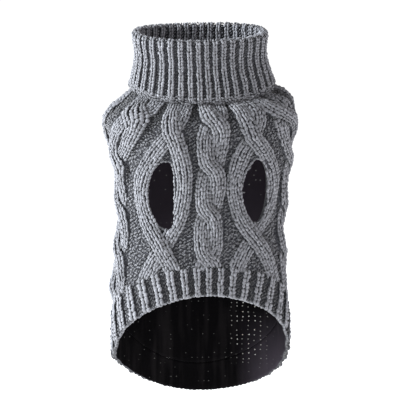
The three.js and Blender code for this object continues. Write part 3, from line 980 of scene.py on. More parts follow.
@dataclass(frozen=True)
class CablePanel:
    """A cable panel: its cloth between two side seams, and the stitches on it."""

    name: str
    belly: bool
    columns: int
    knitting: Knitting
    width: float
    length: float
    cut_area: float
    rows: int = 96

    def edges(self, h: np.ndarray) -> tuple[np.ndarray, np.ndarray]:
        """The panel's first and last degree at h."""
        seam = self.knitting.pattern.seam(h)
        gap = SEAM_GAP / 2 / 0.75
        if self.belly:
            return gap - seam, seam - gap
        return seam + gap, 360 - seam - gap

    def shell(self, cloth: bpy.types.Material, inside: bpy.types.Material) -> bpy.types.Object:
        """The panel's cloth as a thin closed wall, with its leg openings."""
        knitting, pattern = self.knitting, self.knitting.pattern
        form = pattern.form
        down, across = np.meshgrid(
            np.linspace(0, 1, self.rows + 1), np.linspace(0, 1, self.columns + 1), indexing="ij"
        )
        low, high = self.edges(np.array(form.hem_side))
        floor = form.band_top(mix(low, high, across)) + SEAM_GAP / 2
        h = mix(form.neck_seam - SEAM_GAP, floor, down)
        first, last = self.edges(h)
        deg = mix(first, last, across)
        uneven = pattern.unevenness(deg, h)
        outer = form.raised(deg, h, pattern.relief(deg, h) - knitting.shell_sink + uneven)
        inner = form.raised(deg, h, uneven - knitting.inner)
        made = closed_wall(self.name, outer, inner, [cloth, inside])
        if self.belly:
            for hole in knitting.leg_holes:
                self.cut(made, hole.cutter(form, cloth))
        return made

    def cut(self, wall: bpy.types.Object, cutter: bpy.types.Object) -> None:
        """Cuts a hole through the wall and removes the cutter."""
        hole = wall.modifiers.new("leg_hole", "BOOLEAN")
        hole.operation = "DIFFERENCE"
        hole.object = cutter
        hole.solver = "EXACT"
        bpy.context.view_layer.objects.active = wall
        bpy.ops.object.modifier_apply(modifier=hole.name)
        bpy.data.objects.remove(cutter, do_unlink=True)

    def stitches(self, finish: bpy.types.Material) -> list[bpy.types.Object]:
        """The panel's stitches: the cables' in one mesh and the ground's in another."""
        knitting, pattern = self.knitting, self.knitting.pattern
        cables = YarnMesh(self.name + "_cables", 11 + self.belly)
        ground = YarnMesh(self.name + "_ground", 21 + self.belly)
        for cable in pattern.cables:
            for side in (-1, 1):
                for wale in knitting.strand_wales(cable, side):
                    cables.add(StitchKind.KNIT, self.own(wale))
        for below in np.arange(-180, 180, knitting.ground_pitch):
            # The purl ground is painted in shade, as it lies low between the cables.
            ground.add(StitchKind.PURL, self.own(knitting.ground_wale(below)), 0.78, 2.2)
        if self.belly:
            for hole in knitting.leg_holes:
                ground.add(StitchKind.BEAD, knitting.hole_edge(hole), 1.0, 1.0)
        return [cables.build(finish), ground.build(finish)]

    def own(self, wale: Stitches) -> Stitches:
        """The stitches of a wale that lie on this panel."""
        return wale.only(self.knitting.belly_side(wale) == self.belly)


@dataclass(frozen=True)
class HemRibbing:
    """The ribbing round the hem, of which each panel has its own band."""

    pattern: CablePattern = CablePattern()
    ribs: int = 34
    rib_height: float = 2.2
    rib_share: float = 0.54
    furrow_wales: int = 2
    row: float = 2.9
    edge_pitch: float = 3.6

    def place(self, deg: np.ndarray, down: np.ndarray) -> tuple[np.ndarray, np.ndarray]:
        """The degree and height at a share of the way down the band."""
        form = self.pattern.form
        edge = deg - form.rib_lean * np.sin(np.radians(deg))
        z = mix(form.band_top(deg) - SEAM_GAP / 2, form.hem(edge), down)
        return mix(deg, edge, down), z

    def rib(self, deg: np.ndarray) -> np.ndarray:
        """The ribs' profile, 1 on a rib and 0 in a furrow."""
        pitch = 360 / self.ribs
        apart = np.abs((deg + pitch / 2) % pitch - pitch / 2) / pitch
        return 1 - smooth(apart, 0.15, 0.31)

    def wale(self, deg: float, share: float, rise: float) -> Stitches:
        """The stitches of one wale, from the hem up.

        Args:
            deg: its place along the band's top.
            share: its width as a share of the ribs' pitch.
            rise: how far it rises over the ground cloth.

        Returns:
            The wale's stitches.
        """
        form = self.pattern.form
        down = np.linspace(1, 0, 40)
        at, z = self.place(deg, down)
        near = [self.place(deg + step, down) for step in (-0.5, 0.5)]
        chord = form.point(*near[1]) - form.point(*near[0])
        widths = np.linalg.norm(chord, axis=-1) * 360 / self.ribs * share
        height = rise * mix(1, 0.75, down)
        lift = height - 1.1 + self.pattern.unevenness(at, z)
        made = stitches_along(
            form.raised(at, z, lift), form.normal(at, z), widths, self.row, at, z, height
        )
        # Painted shade in the furrows, weaker on the left side, where the lamp falls.
        to_left = (180 - made.deg) % 360 - 180
        darker = mix(0.66, 0.25, smooth(to_left, 30, 60))
        return replace(made, light=1 - darker * smooth(self.rib_height - made.rise, 0.6, 1.6))

    def edge(self, first: float, last: float) -> Stitches:
        """The cast-off edge between two places along the band's top."""
        form = self.pattern.form
        deg = np.linspace(first, last, 400)
        at, z = self.place(deg, np.ones(len(deg)))
        lift = self.rib(deg) * 0.9 - 1.2
        points = form.raised(at, z + 0.5, lift)
        widths = np.full(len(deg), 4.7)
        made = stitches_along(
            points, form.normal(at, z), widths, self.edge_pitch, deg, z, np.zeros(len(deg))
        )
        # Painted shade on the edge's beads behind, which are seen from within.
        behind = smooth(-np.cos(np.radians(made.deg)), -0.25, 0.15)
        return replace(made, light=1 - 0.72 * behind)


@dataclass(frozen=True)
class HemBand:
    """A hem band: its ribbed cloth and its stitches, between two places along its top."""

    name: str
    belly: bool
    ribbing: HemRibbing
    width: float
    length: float
    rows: int = 12
    columns_in_rib: int = 8

    def ends(self) -> tuple[float, float]:
        """The band's first and last degree."""
        seam = self.ribbing.pattern.side_seam.below
        gap = SEAM_GAP / 2 / 0.75
        return (gap - seam, seam - gap) if self.belly else (seam + gap, 360 - seam - gap)

    def shell(self, cloth: bpy.types.Material, inside: bpy.types.Material) -> bpy.types.Object:
        """The band's cloth as a thin closed wall."""
        form = self.ribbing.pattern.form
        first, last = self.ends()
        columns = int((last - first) / 360 * self.ribbing.ribs * self.columns_in_rib)
        down, across = np.meshgrid(
            np.linspace(0, 1, self.rows + 1), np.linspace(0, 1, columns + 1), indexing="ij"
        )
        deg = mix(first, last, across)
        at, z = self.ribbing.place(deg, down)
        rise = self.ribbing.rib(deg)
        uneven = self.ribbing.pattern.unevenness(at, z)
        outer = form.raised(at, z, rise * self.ribbing.rib_height * mix(1, 0.75, down) - 1.35 + uneven)
        inner = form.raised(at, z, uneven - 2.9 + rise * 0.7 * smooth(down, 0, 0.3))
        return closed_wall(self.name, outer, inner, [cloth, inside])

    def stitches(self, finish: bpy.types.Material) -> bpy.types.Object:
        """The band's stitches."""
        ribbing = self.ribbing
        yarn = YarnMesh(self.name + "_stitches", 31 + self.belly)
        pitch = 360 / ribbing.ribs
        furrow = (1 - ribbing.rib_share) / ribbing.furrow_wales
        for rib in range(ribbing.ribs):
            middle = rib * pitch
            if self.holds(middle):
                yarn.add(StitchKind.KNIT, ribbing.wale(middle, ribbing.rib_share, ribbing.rib_height))
            for k in range(ribbing.furrow_wales):
                deg = middle + (ribbing.rib_share / 2 + (k + 0.5) * furrow) * pitch
                if self.holds(deg):
                    # Painted shade on the purl furrows.
                    yarn.add(StitchKind.PURL, ribbing.wale(deg, furrow, 0.1), 0.9, 1.5)
        # Painted light: the edge's beads a little lighter.
        yarn.add(StitchKind.BEAD, ribbing.edge(*self.ends()), 1.1, 0.8)
        return yarn.build(finish)

    def holds(self, deg: float) -> bool:
        """Whether a place along the top of the ribbing is on this band."""
        belly = abs((deg + 180) % 360 - 180) < self.ribbing.pattern.side_seam.below
        return belly == self.belly


class CollarSection(NamedTuple):
    """Half the fold's width over its ribs, at a share of the way from its edge to its rim."""

    u: float
    half: float


@dataclass(frozen=True)
class RollCollar:
    """The ribbed collar: a stand that rises from the neck seam and folds down over itself."""

    name: str = "roll_collar_cloth"
    form: BodyForm = BodyForm()
    sections: tuple[CollarSection, ...] = (
        CollarSection(0, 59),
        CollarSection(0.12, 57.4),
        CollarSection(0.3, 55.7),
        CollarSection(0.5, 53.5),
        CollarSection(0.68, 52.9),
        CollarSection(0.86, 54),
        CollarSection(1, 54.4),
    )
    flatter_by: float = 19
    fold_edge: float = 12.6
    fold_sag: float = 3.2
    fold_shift: float = 1.5
    rim: float = 56.4
    rim_tilt: float = 5
    rim_scoop: float = 1
    rim_side_tilt: float = 0.5
    tilt: float = 1.5
    rim_radius: float = 3.1
    stand_half: float = 50.4
    ribs: int = 40
    rib_height: float = 1.6
    rib_share: float = 0.6
    row: float = 2.45
    sink: float = 1.1
    shell_sink: float = 1.3
    shell_rib: float = 1.2
    fold_back: float = 3.2
    stand_back: float = 1.9
    fold_meets_stand: float = 0.88
    rim_rib: float = 0.16
    inside_rib: float = 0.36

    def fold_half(self, u: np.ndarray) -> np.ndarray:
        """Half the fold's width at a share of its height."""
        keys = np.array([section.u for section in self.sections])
        return along(keys, np.array([section.half for section in self.sections]), u)

    def rim_z(self, angle: np.ndarray) -> np.ndarray:
        """The height of the rim's turn."""
        ahead = np.cos(angle)
        scooped = self.rim - self.rim_radius - self.rim_scoop * ahead**2
        return scooped - self.rim_tilt * ahead + self.rim_side_tilt * np.sin(angle)

    def shift(self, u: np.ndarray) -> np.ndarray:
        """How far the fold's middle lies to the right."""
        return self.fold_shift * (1 - smooth(u, 0, 0.93))

    def fold_z(self, u: np.ndarray, angle: np.ndarray) -> np.ndarray:
        """Heights on the fold."""
        ahead = np.cos(angle)
        edge = self.fold_edge - self.fold_sag * ahead**2 + self.form.dip(ahead)
        edge = edge + self.tilt * np.sin(angle)
        return mix(edge, self.rim_z(angle), u)

    def stand_z(self, u: np.ndarray, angle: np.ndarray) -> np.ndarray:
        """Heights on the stand."""
        return mix(self.form.neck_seam + self.form.dip(np.cos(angle)), self.rim_z(angle), u)

    def ring(
        self, deg: np.ndarray, half: np.ndarray, z: np.ndarray, shift: np.ndarray = 0.0
    ) -> np.ndarray:
        """Points of a ring, by its angle, half width, height and how far it lies to the right."""
        x, y = self.form.squarish(self.form.angle(deg))
        x, y, half, z, shift = np.broadcast_arrays(x, y, half, z, shift)
        return np.stack([half * x + shift, -(half - self.flatter_by) * y, z], axis=-1)

    def stand_inside(self, u: np.ndarray) -> np.ndarray:
        """Half the stand's width on its inner face."""
        return mix(self.stand_half, self.fold_half(np.array(1.0)) - 2 * self.rim_radius, u)

    def face(self, deg: np.ndarray) -> np.ndarray:
        """The ribbed face along one wale: up the fold, over the rim and down the inside."""
        angle = self.form.angle(deg)
        up, turn, down = np.linspace(0.05, 1, 30), np.linspace(0, math.pi, 12)[1:], np.linspace(1, 0, 22)[1:]
        middle = self.fold_half(np.array(1.0)) - self.rim_radius
        half = [self.fold_half(up), middle + self.rim_radius * np.cos(turn), self.stand_inside(down)]
        z = [
            self.fold_z(up, angle),
            self.rim_z(angle) + self.rim_radius * np.sin(turn),
            self.stand_z(down, angle),
        ]
        shift = np.concatenate([self.shift(up), np.zeros(len(turn) + len(down))])
        return self.ring(deg, np.concatenate(half), np.concatenate(z), shift)

    def rib_depth(self) -> np.ndarray:
        """How deep the furrows are along a wale, as a share of the ribs' height."""
        up = np.linspace(0, 1, 30)
        return np.concatenate([
            mix(0.5, 1, smooth(up, 0.02, 0.14)) - 0.25 * smooth(up, 0.9, 1),
            np.linspace(0.75, self.rim_rib, 5),
            np.linspace(self.rim_rib, self.inside_rib, 6),
            np.full(21, self.inside_rib),
        ])

    def wale(self, deg: float, share: float, rise: float) -> Stitches:
        """The stitches of one wale.

        Args:
            deg: its place round the collar.
            share: its width as a share of the ribs' pitch.
            rise: 1 for a rib and 0 for a furrow.

        Returns:
            The wale's stitches.
        """
        points = self.face(np.array(deg))
        chord = self.face(np.array(deg + 0.5)) - self.face(np.array(deg - 0.5))
        in_a_degree = np.linalg.norm(chord, axis=-1)
        out = unit(np.cross(chord, np.gradient(points, axis=0)))
        sunk = self.sink + self.rib_height * self.rib_depth() * (1 - rise)
        points = points - out * sunk[:, None]
        widths = in_a_degree * 360 / self.ribs * share
        place = np.full(len(points), deg)
        made = stitches_along(points, out, widths, self.row, place, points[:, 2], sunk)
        # Painted shade deep in the furrows, weaker on the inside, where the wales run down.
        deep = (made.rise - self.sink) / self.rib_height
        darker = mix(0.62, 0.3, smooth(-made.ahead[:, 2], -0.2, 0.2))
        return replace(made, light=1 - darker * smooth(deep, 0.25, 1))

    def shell(self, cloth: bpy.types.Material) -> bpy.types.Object:
        """The collar's cloth: one ring, open between its layers at the fold's edge."""
        columns_in_rib = 6
        deg = np.arange(self.ribs * columns_in_rib) * 360 / (self.ribs * columns_in_rib)
        angle = self.form.angle(deg)
        pitch = 360 / self.ribs
        apart = np.abs((deg + pitch / 2) % pitch - pitch / 2) / pitch
        furrow = self.shell_rib * smooth(apart, 0.2, 0.4)
        middle = self.fold_half(np.array(1.0)) - self.rim_radius
        rows = []
        for u in np.linspace(1, 0, 22):
            half = self.fold_half(u) - self.shell_sink - furrow
            rows.append(self.ring(deg, half, self.fold_z(u, angle), self.shift(u)))
        for u in np.linspace(0, self.fold_meets_stand, 8):
            half = self.fold_half(u) - self.fold_back
            rows.append(self.ring(deg, half, self.fold_z(u, angle), self.shift(u)))
        for u in np.linspace(self.fold_meets_stand, 0, 8):
            rows.append(self.ring(deg, self.stand_inside(u) + self.stand_back, self.stand_z(u, angle)))
        for u in np.linspace(0, 1, 14):
            half = self.stand_inside(u) + self.shell_sink + furrow * 0.1
            rows.append(self.ring(deg, half, self.stand_z(u, angle)))
        for turn in np.linspace(math.pi, 0, 10)[1:-1]:
            radius = self.rim_radius - self.shell_sink - furrow * (0.55 + 0.4 * math.cos(turn))
            z = self.rim_z(angle) + radius * math.sin(turn)
            rows.append(self.ring(deg, middle + radius * math.cos(turn), z))
        return closed_ring(self.name, np.stack(rows), cloth)

    def edge(self, up: float, back: float, pitch: float) -> Stitches:
        """A row of the cast-on edge at the fold's lower edge.

        Args:
            up: how far it lies above the edge.
            back: how far it lies within the ribs' face.
            pitch: how far its stitches are apart.

        Returns:
            The row's stitches.
        """
        deg = np.linspace(0, 360, 600)
        angle = self.form.angle(deg)
        wave = 0.3 * np.sin(np.radians(deg * 9)) + 0.25 * np.sin(np.radians(deg * 23 + 50))
        half = self.fold_half(np.array(0.0)) - back
        points = self.ring(deg, half, self.fold_z(0, angle) + up + wave, self.shift(0))
        x, y = self.form.squarish(angle)
        out = unit(np.stack([x, -y, -0.3 * np.ones(len(deg))], axis=-1))
        widths = np.full(len(deg), 3.0)
        level = np.zeros(len(deg))
        return stitches_along(points, out, widths, pitch, deg, points[:, 2], level)

    def stitches(self, finish: bpy.types.Material) -> list[bpy.types.Object]:
        """The collar's stitches, on the fold and down the inside."""
        fold = YarnMesh("collar_fold_stitches", 41)
        inside = YarnMesh("collar_inside_stitches", 42)
        pitch = 360 / self.ribs
        for rib in range(self.ribs):
            knit = self.wale(rib * pitch, self.rib_share, 1)
            purl = self.wale((rib + 0.5) * pitch, 1 - self.rib_share, 0)
            # Painted shade on the purl furrows, and painted light on the stitches down the inside.
            for wale, kind, shade in ((knit, StitchKind.KNIT, 1.0), (purl, StitchKind.PURL, 0.95)):
                upright = wale.ahead[:, 2] > -0.2
                fold.add(kind, wale.only(upright), shade, 0.8)
                inside.add(kind, wale.only(~upright), shade * 1.3, 0.8)
        # The cast-on edge's rows are painted in shade.
        for up, back, shade in ((3.4, 1.6, 0.8), (1.6, 1.0, 0.8), (0, 1.3, 0.72)):
            fold.add(StitchKind.BEAD, self.edge(up, back, 2.5), shade, 3.2, 0.8)
        return [fold.build(finish), inside.build(finish)]


class NodeBench:
    """A small help for wiring shader nodes."""

    def __init__(self, tree: bpy.types.NodeTree) -> None:
        """Starts with an empty tree."""
        self.tree = tree
        tree.nodes.clear()

    def add(self, kind: str, **values: object) -> bpy.types.Node:
        """Adds a node and sets its properties."""
        node = self.tree.nodes.new(kind)
        for name, value in values.items():
            setattr(node, name, value)
        return node

    def link(self, source: bpy.types.NodeSocket, target: bpy.types.NodeSocket) -> None:
        """Joins two sockets."""
        self.tree.links.new(source, target)

    def math(self, operation: str, first: object, second: object = None) -> bpy.types.NodeSocket:
        """A Math node on sockets or numbers, and its output."""
        node = self.add("ShaderNodeMath", operation=operation)
        for socket, value in zip(node.inputs, (first, second)):
            if isinstance(value, bpy.types.NodeSocket):
                self.link(value, socket)
            elif value is not None:
                socket.default_value = value
        return node.outputs[0]

    def noise(self, place: bpy.types.NodeSocket, scale: float, detail: float) -> bpy.types.NodeSocket:
        """Noise at a place, and its value."""
        node = self.add("ShaderNodeTexNoise")
        node.inputs["Scale"].default_value = scale
        node.inputs["Detail"].default_value = detail
        self.link(place, node.inputs["Vector"])
        return node.outputs["Fac"]

    def ramp(self, value: bpy.types.NodeSocket, low: float, high: float) -> bpy.types.NodeSocket:
        """A value spread from 0 at low to 1 at high."""
        node = self.add("ShaderNodeMapRange")
        node.inputs["From Min"].default_value = low
        node.inputs["From Max"].default_value = high
        self.link(value, node.inputs["Value"])
        return node.outputs["Result"]

    def blend(
        self, share: bpy.types.NodeSocket, first: object, second: object, kind: str = "MIX"
    ) -> bpy.types.NodeSocket:
        """A mix of two colours, given as sockets or values."""
        node = self.add("ShaderNodeMix", data_type="RGBA", blend_type=kind)
        self.link(share, node.inputs["Factor"])
        for socket, value in ((node.inputs[6], first), (node.inputs[7], second)):
            if isinstance(value, bpy.types.NodeSocket):
                self.link(value, socket)
            else:
                socket.default_value = (*value, 1)
        return node.outputs[2]


def heather_group() -> bpy.types.NodeTree:
    """The heathered grey of the yarn: fibres of three greys, mixed more in some places."""
    tree = bpy.data.node_groups.new("heathered_yarn", "ShaderNodeTree")
    face = tree.interface
    face.new_socket("Place", in_out="INPUT", socket_type="NodeSocketVector")
    face.new_socket("Dark", in_out="INPUT", socket_type="NodeSocketColor")
    face.new_socket("Middle", in_out="INPUT", socket_type="NodeSocketColor")
    face.new_socket("Light", in_out="INPUT", socket_type="NodeSocketColor")
    face.new_socket("Color", in_out="OUTPUT", socket_type="NodeSocketColor")
    face.new_socket("Fibres", in_out="OUTPUT", socket_type="NodeSocketFloat")
    bench = NodeBench(tree)
    given = bench.add("NodeGroupInput")
    result = bench.add("NodeGroupOutput")
    place = given.outputs["Place"]
    coarse = bench.noise(place, 620, 2)
    fine = bench.noise(place, 1500, 3)
    slow = bench.noise(place, 60, 2)
    lighter = bench.blend(bench.ramp(coarse, 0.42, 0.62), given.outputs["Middle"], given.outputs["Light"])
    darker = bench.blend(bench.ramp(fine, 0.44, 0.3), lighter, given.outputs["Dark"])
    clouded = bench.blend(bench.ramp(slow, 0.35, 0.7), darker, given.outputs["Middle"])
    soft = bench.blend(bench.math("MULTIPLY", bench.ramp(slow, 0.3, 0.7), 0.35), darker, clouded)
    bench.link(soft, result.inputs["Color"])
    bench.link(fine, result.inputs["Fibres"])
    return tree


@dataclass(frozen=True)
class YarnFinish:
    """Soft heathered acrylic yarn, plied and a little fuzzy, with painted shade: darker down in the gaps
    between the loops, and the stitches' painted light and shade.
    """

    name: str = "heathered_yarn"
    dark: tuple[float, float, float] = (0.115, 0.117, 0.131)
    middle: tuple[float, float, float] = (0.205, 0.209, 0.233)
    light: tuple[float, float, float] = (0.28, 0.286, 0.315)
    painted_gap_shade: float = 0.5
    plies: float = 2
    turns: float = 3

    def build(self, group: bpy.types.NodeTree) -> bpy.types.Material:
        """Makes the material."""
        material = bpy.data.materials.new(self.name)
        material.use_nodes = True
        bench = NodeBench(material.node_tree)
        place = bench.add("ShaderNodeTexCoord").outputs["Object"]
        heather = bench.add("ShaderNodeGroup", node_tree=group)
        bench.link(place, heather.inputs["Place"])
        for name, value in (("Dark", self.dark), ("Middle", self.middle), ("Light", self.light)):
            heather.inputs[name].default_value = (*value, 1)
        # Painted shade: the stitches' shade attribute, and darker yarn where a loop's depth is low, in the
        # gaps.
        shade = bench.add("ShaderNodeAttribute", attribute_name="shade").outputs["Fac"]
        depth = bench.add("ShaderNodeAttribute", attribute_name="depth").outputs["Fac"]
        sunk = bench.math("MULTIPLY_ADD", bench.ramp(depth, 0.15, 0.75), 1 - self.painted_gap_shade)
        sunk.node.inputs[2].default_value = self.painted_gap_shade
        tone = bench.math("MULTIPLY", shade, sunk)
        grey = bench.add("ShaderNodeCombineColor")
        for socket in grey.inputs[:3]:
            bench.link(tone, socket)
        always = bench.math("MULTIPLY", tone, 0)
        whole = bench.math("ADD", always, 1)
        color = bench.blend(whole, heather.outputs["Color"], grey.outputs[0], "MULTIPLY")
        height = bench.math("MULTIPLY_ADD", self.twist(bench), 0.6)
        bench.link(heather.outputs["Fibres"], height.node.inputs[2])
        bump = bench.add("ShaderNodeBump")
        bump.inputs["Strength"].default_value = 0.7
        bump.inputs["Distance"].default_value = 0.0005
        bench.link(height, bump.inputs["Height"])
        shader = bench.add("ShaderNodeBsdfPrincipled")
        shader.inputs["Roughness"].default_value = 0.92
        shader.inputs["Specular IOR Level"].default_value = 0.2
        shader.inputs["Sheen Weight"].default_value = 0.35
        shader.inputs["Sheen Roughness"].default_value = 0.6
        bench.link(color, shader.inputs["Base Color"])
        bench.link(bump.outputs["Normal"], shader.inputs["Normal"])
        out = bench.add("ShaderNodeOutputMaterial")
        bench.link(shader.outputs["BSDF"], out.inputs["Surface"])
        return material

    def twist(self, bench: NodeBench) -> bpy.types.NodeSocket:
        """The ridges of the plies, which wind round the yarn."""
        uv = bench.add("ShaderNodeUVMap", uv_map="YarnUV").outputs["UV"]
        parts = bench.add("ShaderNodeSeparateXYZ")
        bench.link(uv, parts.inputs[0])
        wound = bench.math("MULTIPLY", parts.outputs["X"], self.turns)
        round_it = bench.math("MULTIPLY_ADD", parts.outputs["Y"], self.plies)
        bench.link(wound, round_it.node.inputs[2])
        wave = bench.math("SINE", bench.math("MULTIPLY", round_it, 2 * math.pi))
        return bench.math("ABSOLUTE", wave)


@dataclass(frozen=True)
class ShadedClothFinish:
    """The cloth between the stitches, in painted shade: the yarn's heathered greys made far darker, as little
    light falls there.
    """

    name: str = "cloth_between_stitches"
    # Painted shade: the yarn's heathered greys made far darker.
    dark: tuple[float, float, float] = (0.018, 0.018, 0.022)
    middle: tuple[float, float, float] = (0.045, 0.046, 0.054)
    light: tuple[float, float, float] = (0.085, 0.087, 0.098)

    def build(self, group: bpy.types.NodeTree) -> bpy.types.Material:
        """Makes the material."""
        material = bpy.data.materials.new(self.name)
        material.use_nodes = True
        bench = NodeBench(material.node_tree)
        place = bench.add("ShaderNodeTexCoord").outputs["Object"]
        heather = bench.add("ShaderNodeGroup", node_tree=group)
        bench.link(place, heather.inputs["Place"])
        for name, value in (("Dark", self.dark), ("Middle", self.middle), ("Light", self.light)):
            heather.inputs[name].default_value = (*value, 1)
        bump = bench.add("ShaderNodeBump")
        bump.inputs["Strength"].default_value = 0.8
        bump.inputs["Distance"].default_value = 0.0008
        bench.link(heather.outputs["Fibres"], bump.inputs["Height"])
        shader = bench.add("ShaderNodeBsdfPrincipled")
        shader.inputs["Roughness"].default_value = 0.95
        shader.inputs["Specular IOR Level"].default_value = 0.15
        shader.inputs["Sheen Weight"].default_value = 0.15
        bench.link(heather.outputs["Color"], shader.inputs["Base Color"])
        bench.link(bump.outputs["Normal"], shader.inputs["Normal"])
        out = bench.add("ShaderNodeOutputMaterial")
        bench.link(shader.outputs["BSDF"], out.inputs["Surface"])
        return material


@dataclass(frozen=True)
class InsideFinish:
    """The inside of the body in painted shade, near black, with painted light: flecks that glow where light
    comes through between stitches, dim streaks, and lighter cloth over the chest and low on the near side.

    Lengths are metres. The pores lie in rows, and most are open in one thin patch of the back.
    """

    name: str = "unlit_inside"
    # Painted shade and light: the near-black cloth, dim streaks along the wales, lighter cloth over the chest
    # and low on the near side, and glowing flecks.
    cloth: tuple[float, float, float] = (0.002, 0.0018, 0.0022)
    streak: tuple[float, float, float] = (0.007, 0.0062, 0.0068)
    chest: tuple[float, float, float] = (0.058, 0.048, 0.062)
    side: tuple[float, float, float] = (0.067, 0.057, 0.073)
    fleck: tuple[float, float, float] = (0.6, 0.6, 0.57)
    pore_scale: float = 225
    pore_rows: float = 1.17
    pore: float = 0.085
    patch_x: tuple[float, float] = (0.034, 0.056)
    patch_z: tuple[float, float] = (-0.212, -0.16)
    soft: float = 0.006
    glow: float = 0.5

    def build(self) -> bpy.types.Material:
        """Makes the material."""
        material = bpy.data.materials.new(self.name)
        material.use_nodes = True
        bench = NodeBench(material.node_tree)
        place = bench.add("ShaderNodeTexCoord").outputs["Object"]
        parts = bench.add("ShaderNodeSeparateXYZ")
        bench.link(place, parts.inputs[0])
        share = self.flecks(bench, parts.outputs["X"], parts.outputs["Z"])
        # Painted shade and light on the inside: near-black cloth, dim streaks along the wales, lighter over the
        # chest and on the lower near side.
        streaks = bench.ramp(bench.noise(self.stretched(bench, place), 150, 2), 0.5, 0.72)
        cloth = bench.blend(streaks, self.cloth, self.streak)
        cloth = bench.blend(bench.ramp(parts.outputs["Z"], -0.15, -0.1), cloth, self.chest)
        near_side = bench.ramp(parts.outputs["X"], 0.036, 0.072)
        low = bench.ramp(parts.outputs["Z"], -0.17, -0.225)
        cloth = bench.blend(bench.math("MULTIPLY", near_side, low), cloth, self.side)
        color = bench.blend(share, cloth, self.fleck)
        shader = bench.add("ShaderNodeBsdfPrincipled")
        shader.inputs["Roughness"].default_value = 1.0
        shader.inputs["Specular IOR Level"].default_value = 0.05
        # Painted light: the flecks glow as light coming through.
        shader.inputs["Emission Strength"].default_value = self.glow
        bench.link(color, shader.inputs["Base Color"])
        bench.link(bench.blend(share, (0, 0, 0), self.fleck), shader.inputs["Emission Color"])
        out = bench.add("ShaderNodeOutputMaterial")
        bench.link(shader.outputs["BSDF"], out.inputs["Surface"])
        return material

    def stretched(self, bench: NodeBench, place: bpy.types.NodeSocket) -> bpy.types.NodeSocket:
        """The place, drawn out along the wales."""
        mapping = bench.add("ShaderNodeMapping")
        mapping.inputs["Scale"].default_value = (1, 1, 0.12)
        bench.link(place, mapping.inputs["Vector"])
        return mapping.outputs["Vector"]

    def band(
        self, bench: NodeBench, value: bpy.types.NodeSocket, low: float, high: float
    ) -> bpy.types.NodeSocket:
        """1 where a value is between two bounds, with soft ends."""
        rising = bench.ramp(value, low - self.soft, low + self.soft)
        falling = bench.ramp(value, high + self.soft, high - self.soft)
        return bench.math("MULTIPLY", rising, falling)

    def flecks(
        self, bench: NodeBench, x: bpy.types.NodeSocket, z: bpy.types.NodeSocket
    ) -> bpy.types.NodeSocket:
        """How much light comes through: bright flecks in the thin patch and a few dim ones."""
        flat = bench.add("ShaderNodeCombineXYZ")
        bench.link(x, flat.inputs["X"])
        bench.link(bench.math("MULTIPLY", z, self.pore_rows), flat.inputs["Y"])
        pores = bench.add("ShaderNodeTexVoronoi", voronoi_dimensions="2D")
        pores.inputs["Scale"].default_value = self.pore_scale
        pores.inputs["Randomness"].default_value = 0.35
        bench.link(flat.outputs[0], pores.inputs["Vector"])
        near = bench.math("LESS_THAN", pores.outputs["Distance"], self.pore)
        chosen = bench.add("ShaderNodeSeparateColor")
        bench.link(pores.outputs["Color"], chosen.inputs[0])
        open_ones = bench.ramp(chosen.outputs[0], 0.15, 0.9)
        patch = bench.math(
            "MULTIPLY", self.band(bench, x, *self.patch_x), self.band(bench, z, *self.patch_z)
        )
        few = bench.ramp(chosen.outputs[1], 0.82, 1.0)
        seen = bench.blend(bench.ramp(z, -0.15, -0.1), (0.12, 0.12, 0.12), (0.5, 0.5, 0.5))
        dim = bench.math("MULTIPLY", few, seen)
        strength = bench.math("ADD", bench.math("MULTIPLY", open_ones, patch), dim)
        return bench.math("MULTIPLY", near, strength)


class Lamp(NamedTuple):
    """A soft square light: where it stands from the sweater's middle, its size, power and tint."""

    x: float
    y: float
    z: float
    size: float
    power: float
    tint: tuple[float, float, float]


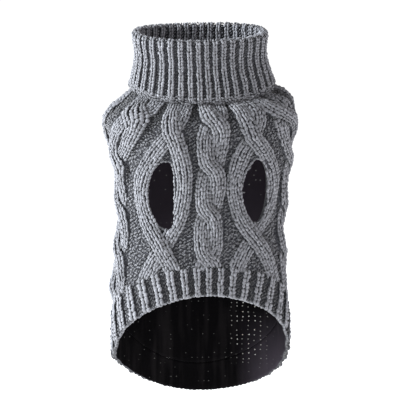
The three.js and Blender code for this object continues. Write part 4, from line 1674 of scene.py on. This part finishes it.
@dataclass(frozen=True)
class Studio:
    """The camera, the soft lights and the pale floor, in metres."""

    middle: tuple[float, float, float] = (0.0, 0.0, -0.08)
    azimuth: float = -9
    elevation: float = 5
    distance: float = 6.0
    view_width: float = 0.32
    sensor: float = 36
    floor_z: float = -0.31
    floor_half: float = 60
    lamps: tuple[Lamp, ...] = (
        Lamp(-2.1, -0.12, 0.75, 0.9, 124, (0.93, 0.97, 1.0)),
        Lamp(1.8, -0.8, 0.5, 1.0, 12, (1.0, 0.92, 0.95)),
        Lamp(-0.6, 1.4, 1.1, 1.2, 12, (0.96, 0.98, 1.0)),
    )
    sky: float = 0.26

    def build(self) -> None:
        """Sets up the whole studio."""
        self.camera()
        self.lights()
        self.floor()
        bpy.context.scene.view_settings.view_transform = "Standard"

    def camera(self) -> None:
        """A long lens at the photograph's angle."""
        a, e = math.radians(self.azimuth), math.radians(self.elevation)
        way = Vector((math.sin(a) * math.cos(e), -math.cos(a) * math.cos(e), math.sin(e)))
        data = bpy.data.cameras.new("camera")
        data.sensor_width = self.sensor
        data.lens = self.sensor * self.distance / self.view_width
        data.clip_end = 200
        camera = bpy.data.objects.new("camera", data)
        camera.location = Vector(self.middle) + way * self.distance
        camera.rotation_euler = way.to_track_quat("Z", "Y").to_euler()
        bpy.context.scene.collection.objects.link(camera)
        bpy.context.scene.camera = camera

    def lights(self) -> None:
        """A pale sky and soft lamps."""
        world = bpy.data.worlds.new("studio")
        bpy.context.scene.world = world
        world.use_nodes = True
        back = world.node_tree.nodes["Background"]
        back.inputs["Color"].default_value = (1, 1, 1, 1)
        back.inputs["Strength"].default_value = self.sky
        for number, lamp in enumerate(self.lamps):
            data = bpy.data.lights.new(f"lamp_{number}", "AREA")
            data.size = lamp.size
            data.energy = lamp.power
            data.color = lamp.tint
            stand = bpy.data.objects.new(data.name, data)
            way = Vector((lamp.x, lamp.y, lamp.z))
            stand.location = Vector(self.middle) + way
            stand.rotation_euler = way.to_track_quat("Z", "Y").to_euler()
            bpy.context.scene.collection.objects.link(stand)

    def floor(self) -> None:
        """A plain pale floor below the sweater."""
        bpy.ops.object.select_all(action="DESELECT")
        bpy.ops.mesh.primitive_plane_add(size=2 * self.floor_half, location=(0, 0, self.floor_z))
        floor = bpy.context.object
        floor.name = "floor"
        bpy.ops.object.transform_apply(location=True, rotation=True, scale=True)
        material = bpy.data.materials.new("pale_floor")
        material.use_nodes = True
        shader = material.node_tree.nodes["Principled BSDF"]
        shader.inputs["Base Color"].default_value = (0.95, 0.95, 0.95, 1)
        shader.inputs["Roughness"].default_value = 1.0
        shader.inputs["Specular IOR Level"].default_value = 0.0
        shader.inputs["Emission Color"].default_value = (1, 1, 1, 1)
        shader.inputs["Emission Strength"].default_value = 0.8
        floor.data.materials.append(material)


def main() -> None:
    """Builds the sweater piece by piece."""
    logging.basicConfig(level=logging.INFO, format="%(message)s")
    Studio().build()
    group = heather_group()
    yarn = YarnFinish().build(group)
    cloth = ShadedClothFinish().build(group)
    inside = InsideFinish().build()
    knitting = Knitting()
    panels = (
        CablePanel("belly_panel_cloth", True, 124, knitting, 0.14, 0.16, 0.02),
        CablePanel("back_panel_cloth", False, 200, knitting, 0.24, 0.21, 0.045),
    )
    ribbing = HemRibbing()
    bands = (
        HemBand("belly_hem_band_cloth", True, ribbing, 0.145, 0.03),
        HemBand("back_hem_band_cloth", False, ribbing, 0.26, 0.03),
    )
    for panel in panels:
        shell = panel.shell(cloth, inside)
        dress(shell, "cable_knit", panel.name.removesuffix("_cloth"))
        stitches = panel.stitches(yarn)
        for piece in stitches:
            dress(piece, "cable_knit")
    for band in bands:
        shell = band.shell(cloth, inside)
        dress(shell, "rib_knit", band.name.removesuffix("_cloth"))
        stitches = band.stitches(yarn)
        dress(stitches, "rib_knit")
    collar = RollCollar()
    shell = collar.shell(cloth)
    dress(shell, "rib_knit", "roll_collar")
    stitches = collar.stitches(yarn)
    for piece in stitches:
        dress(piece, "rib_knit")


if __name__ == "__main__":
    main()
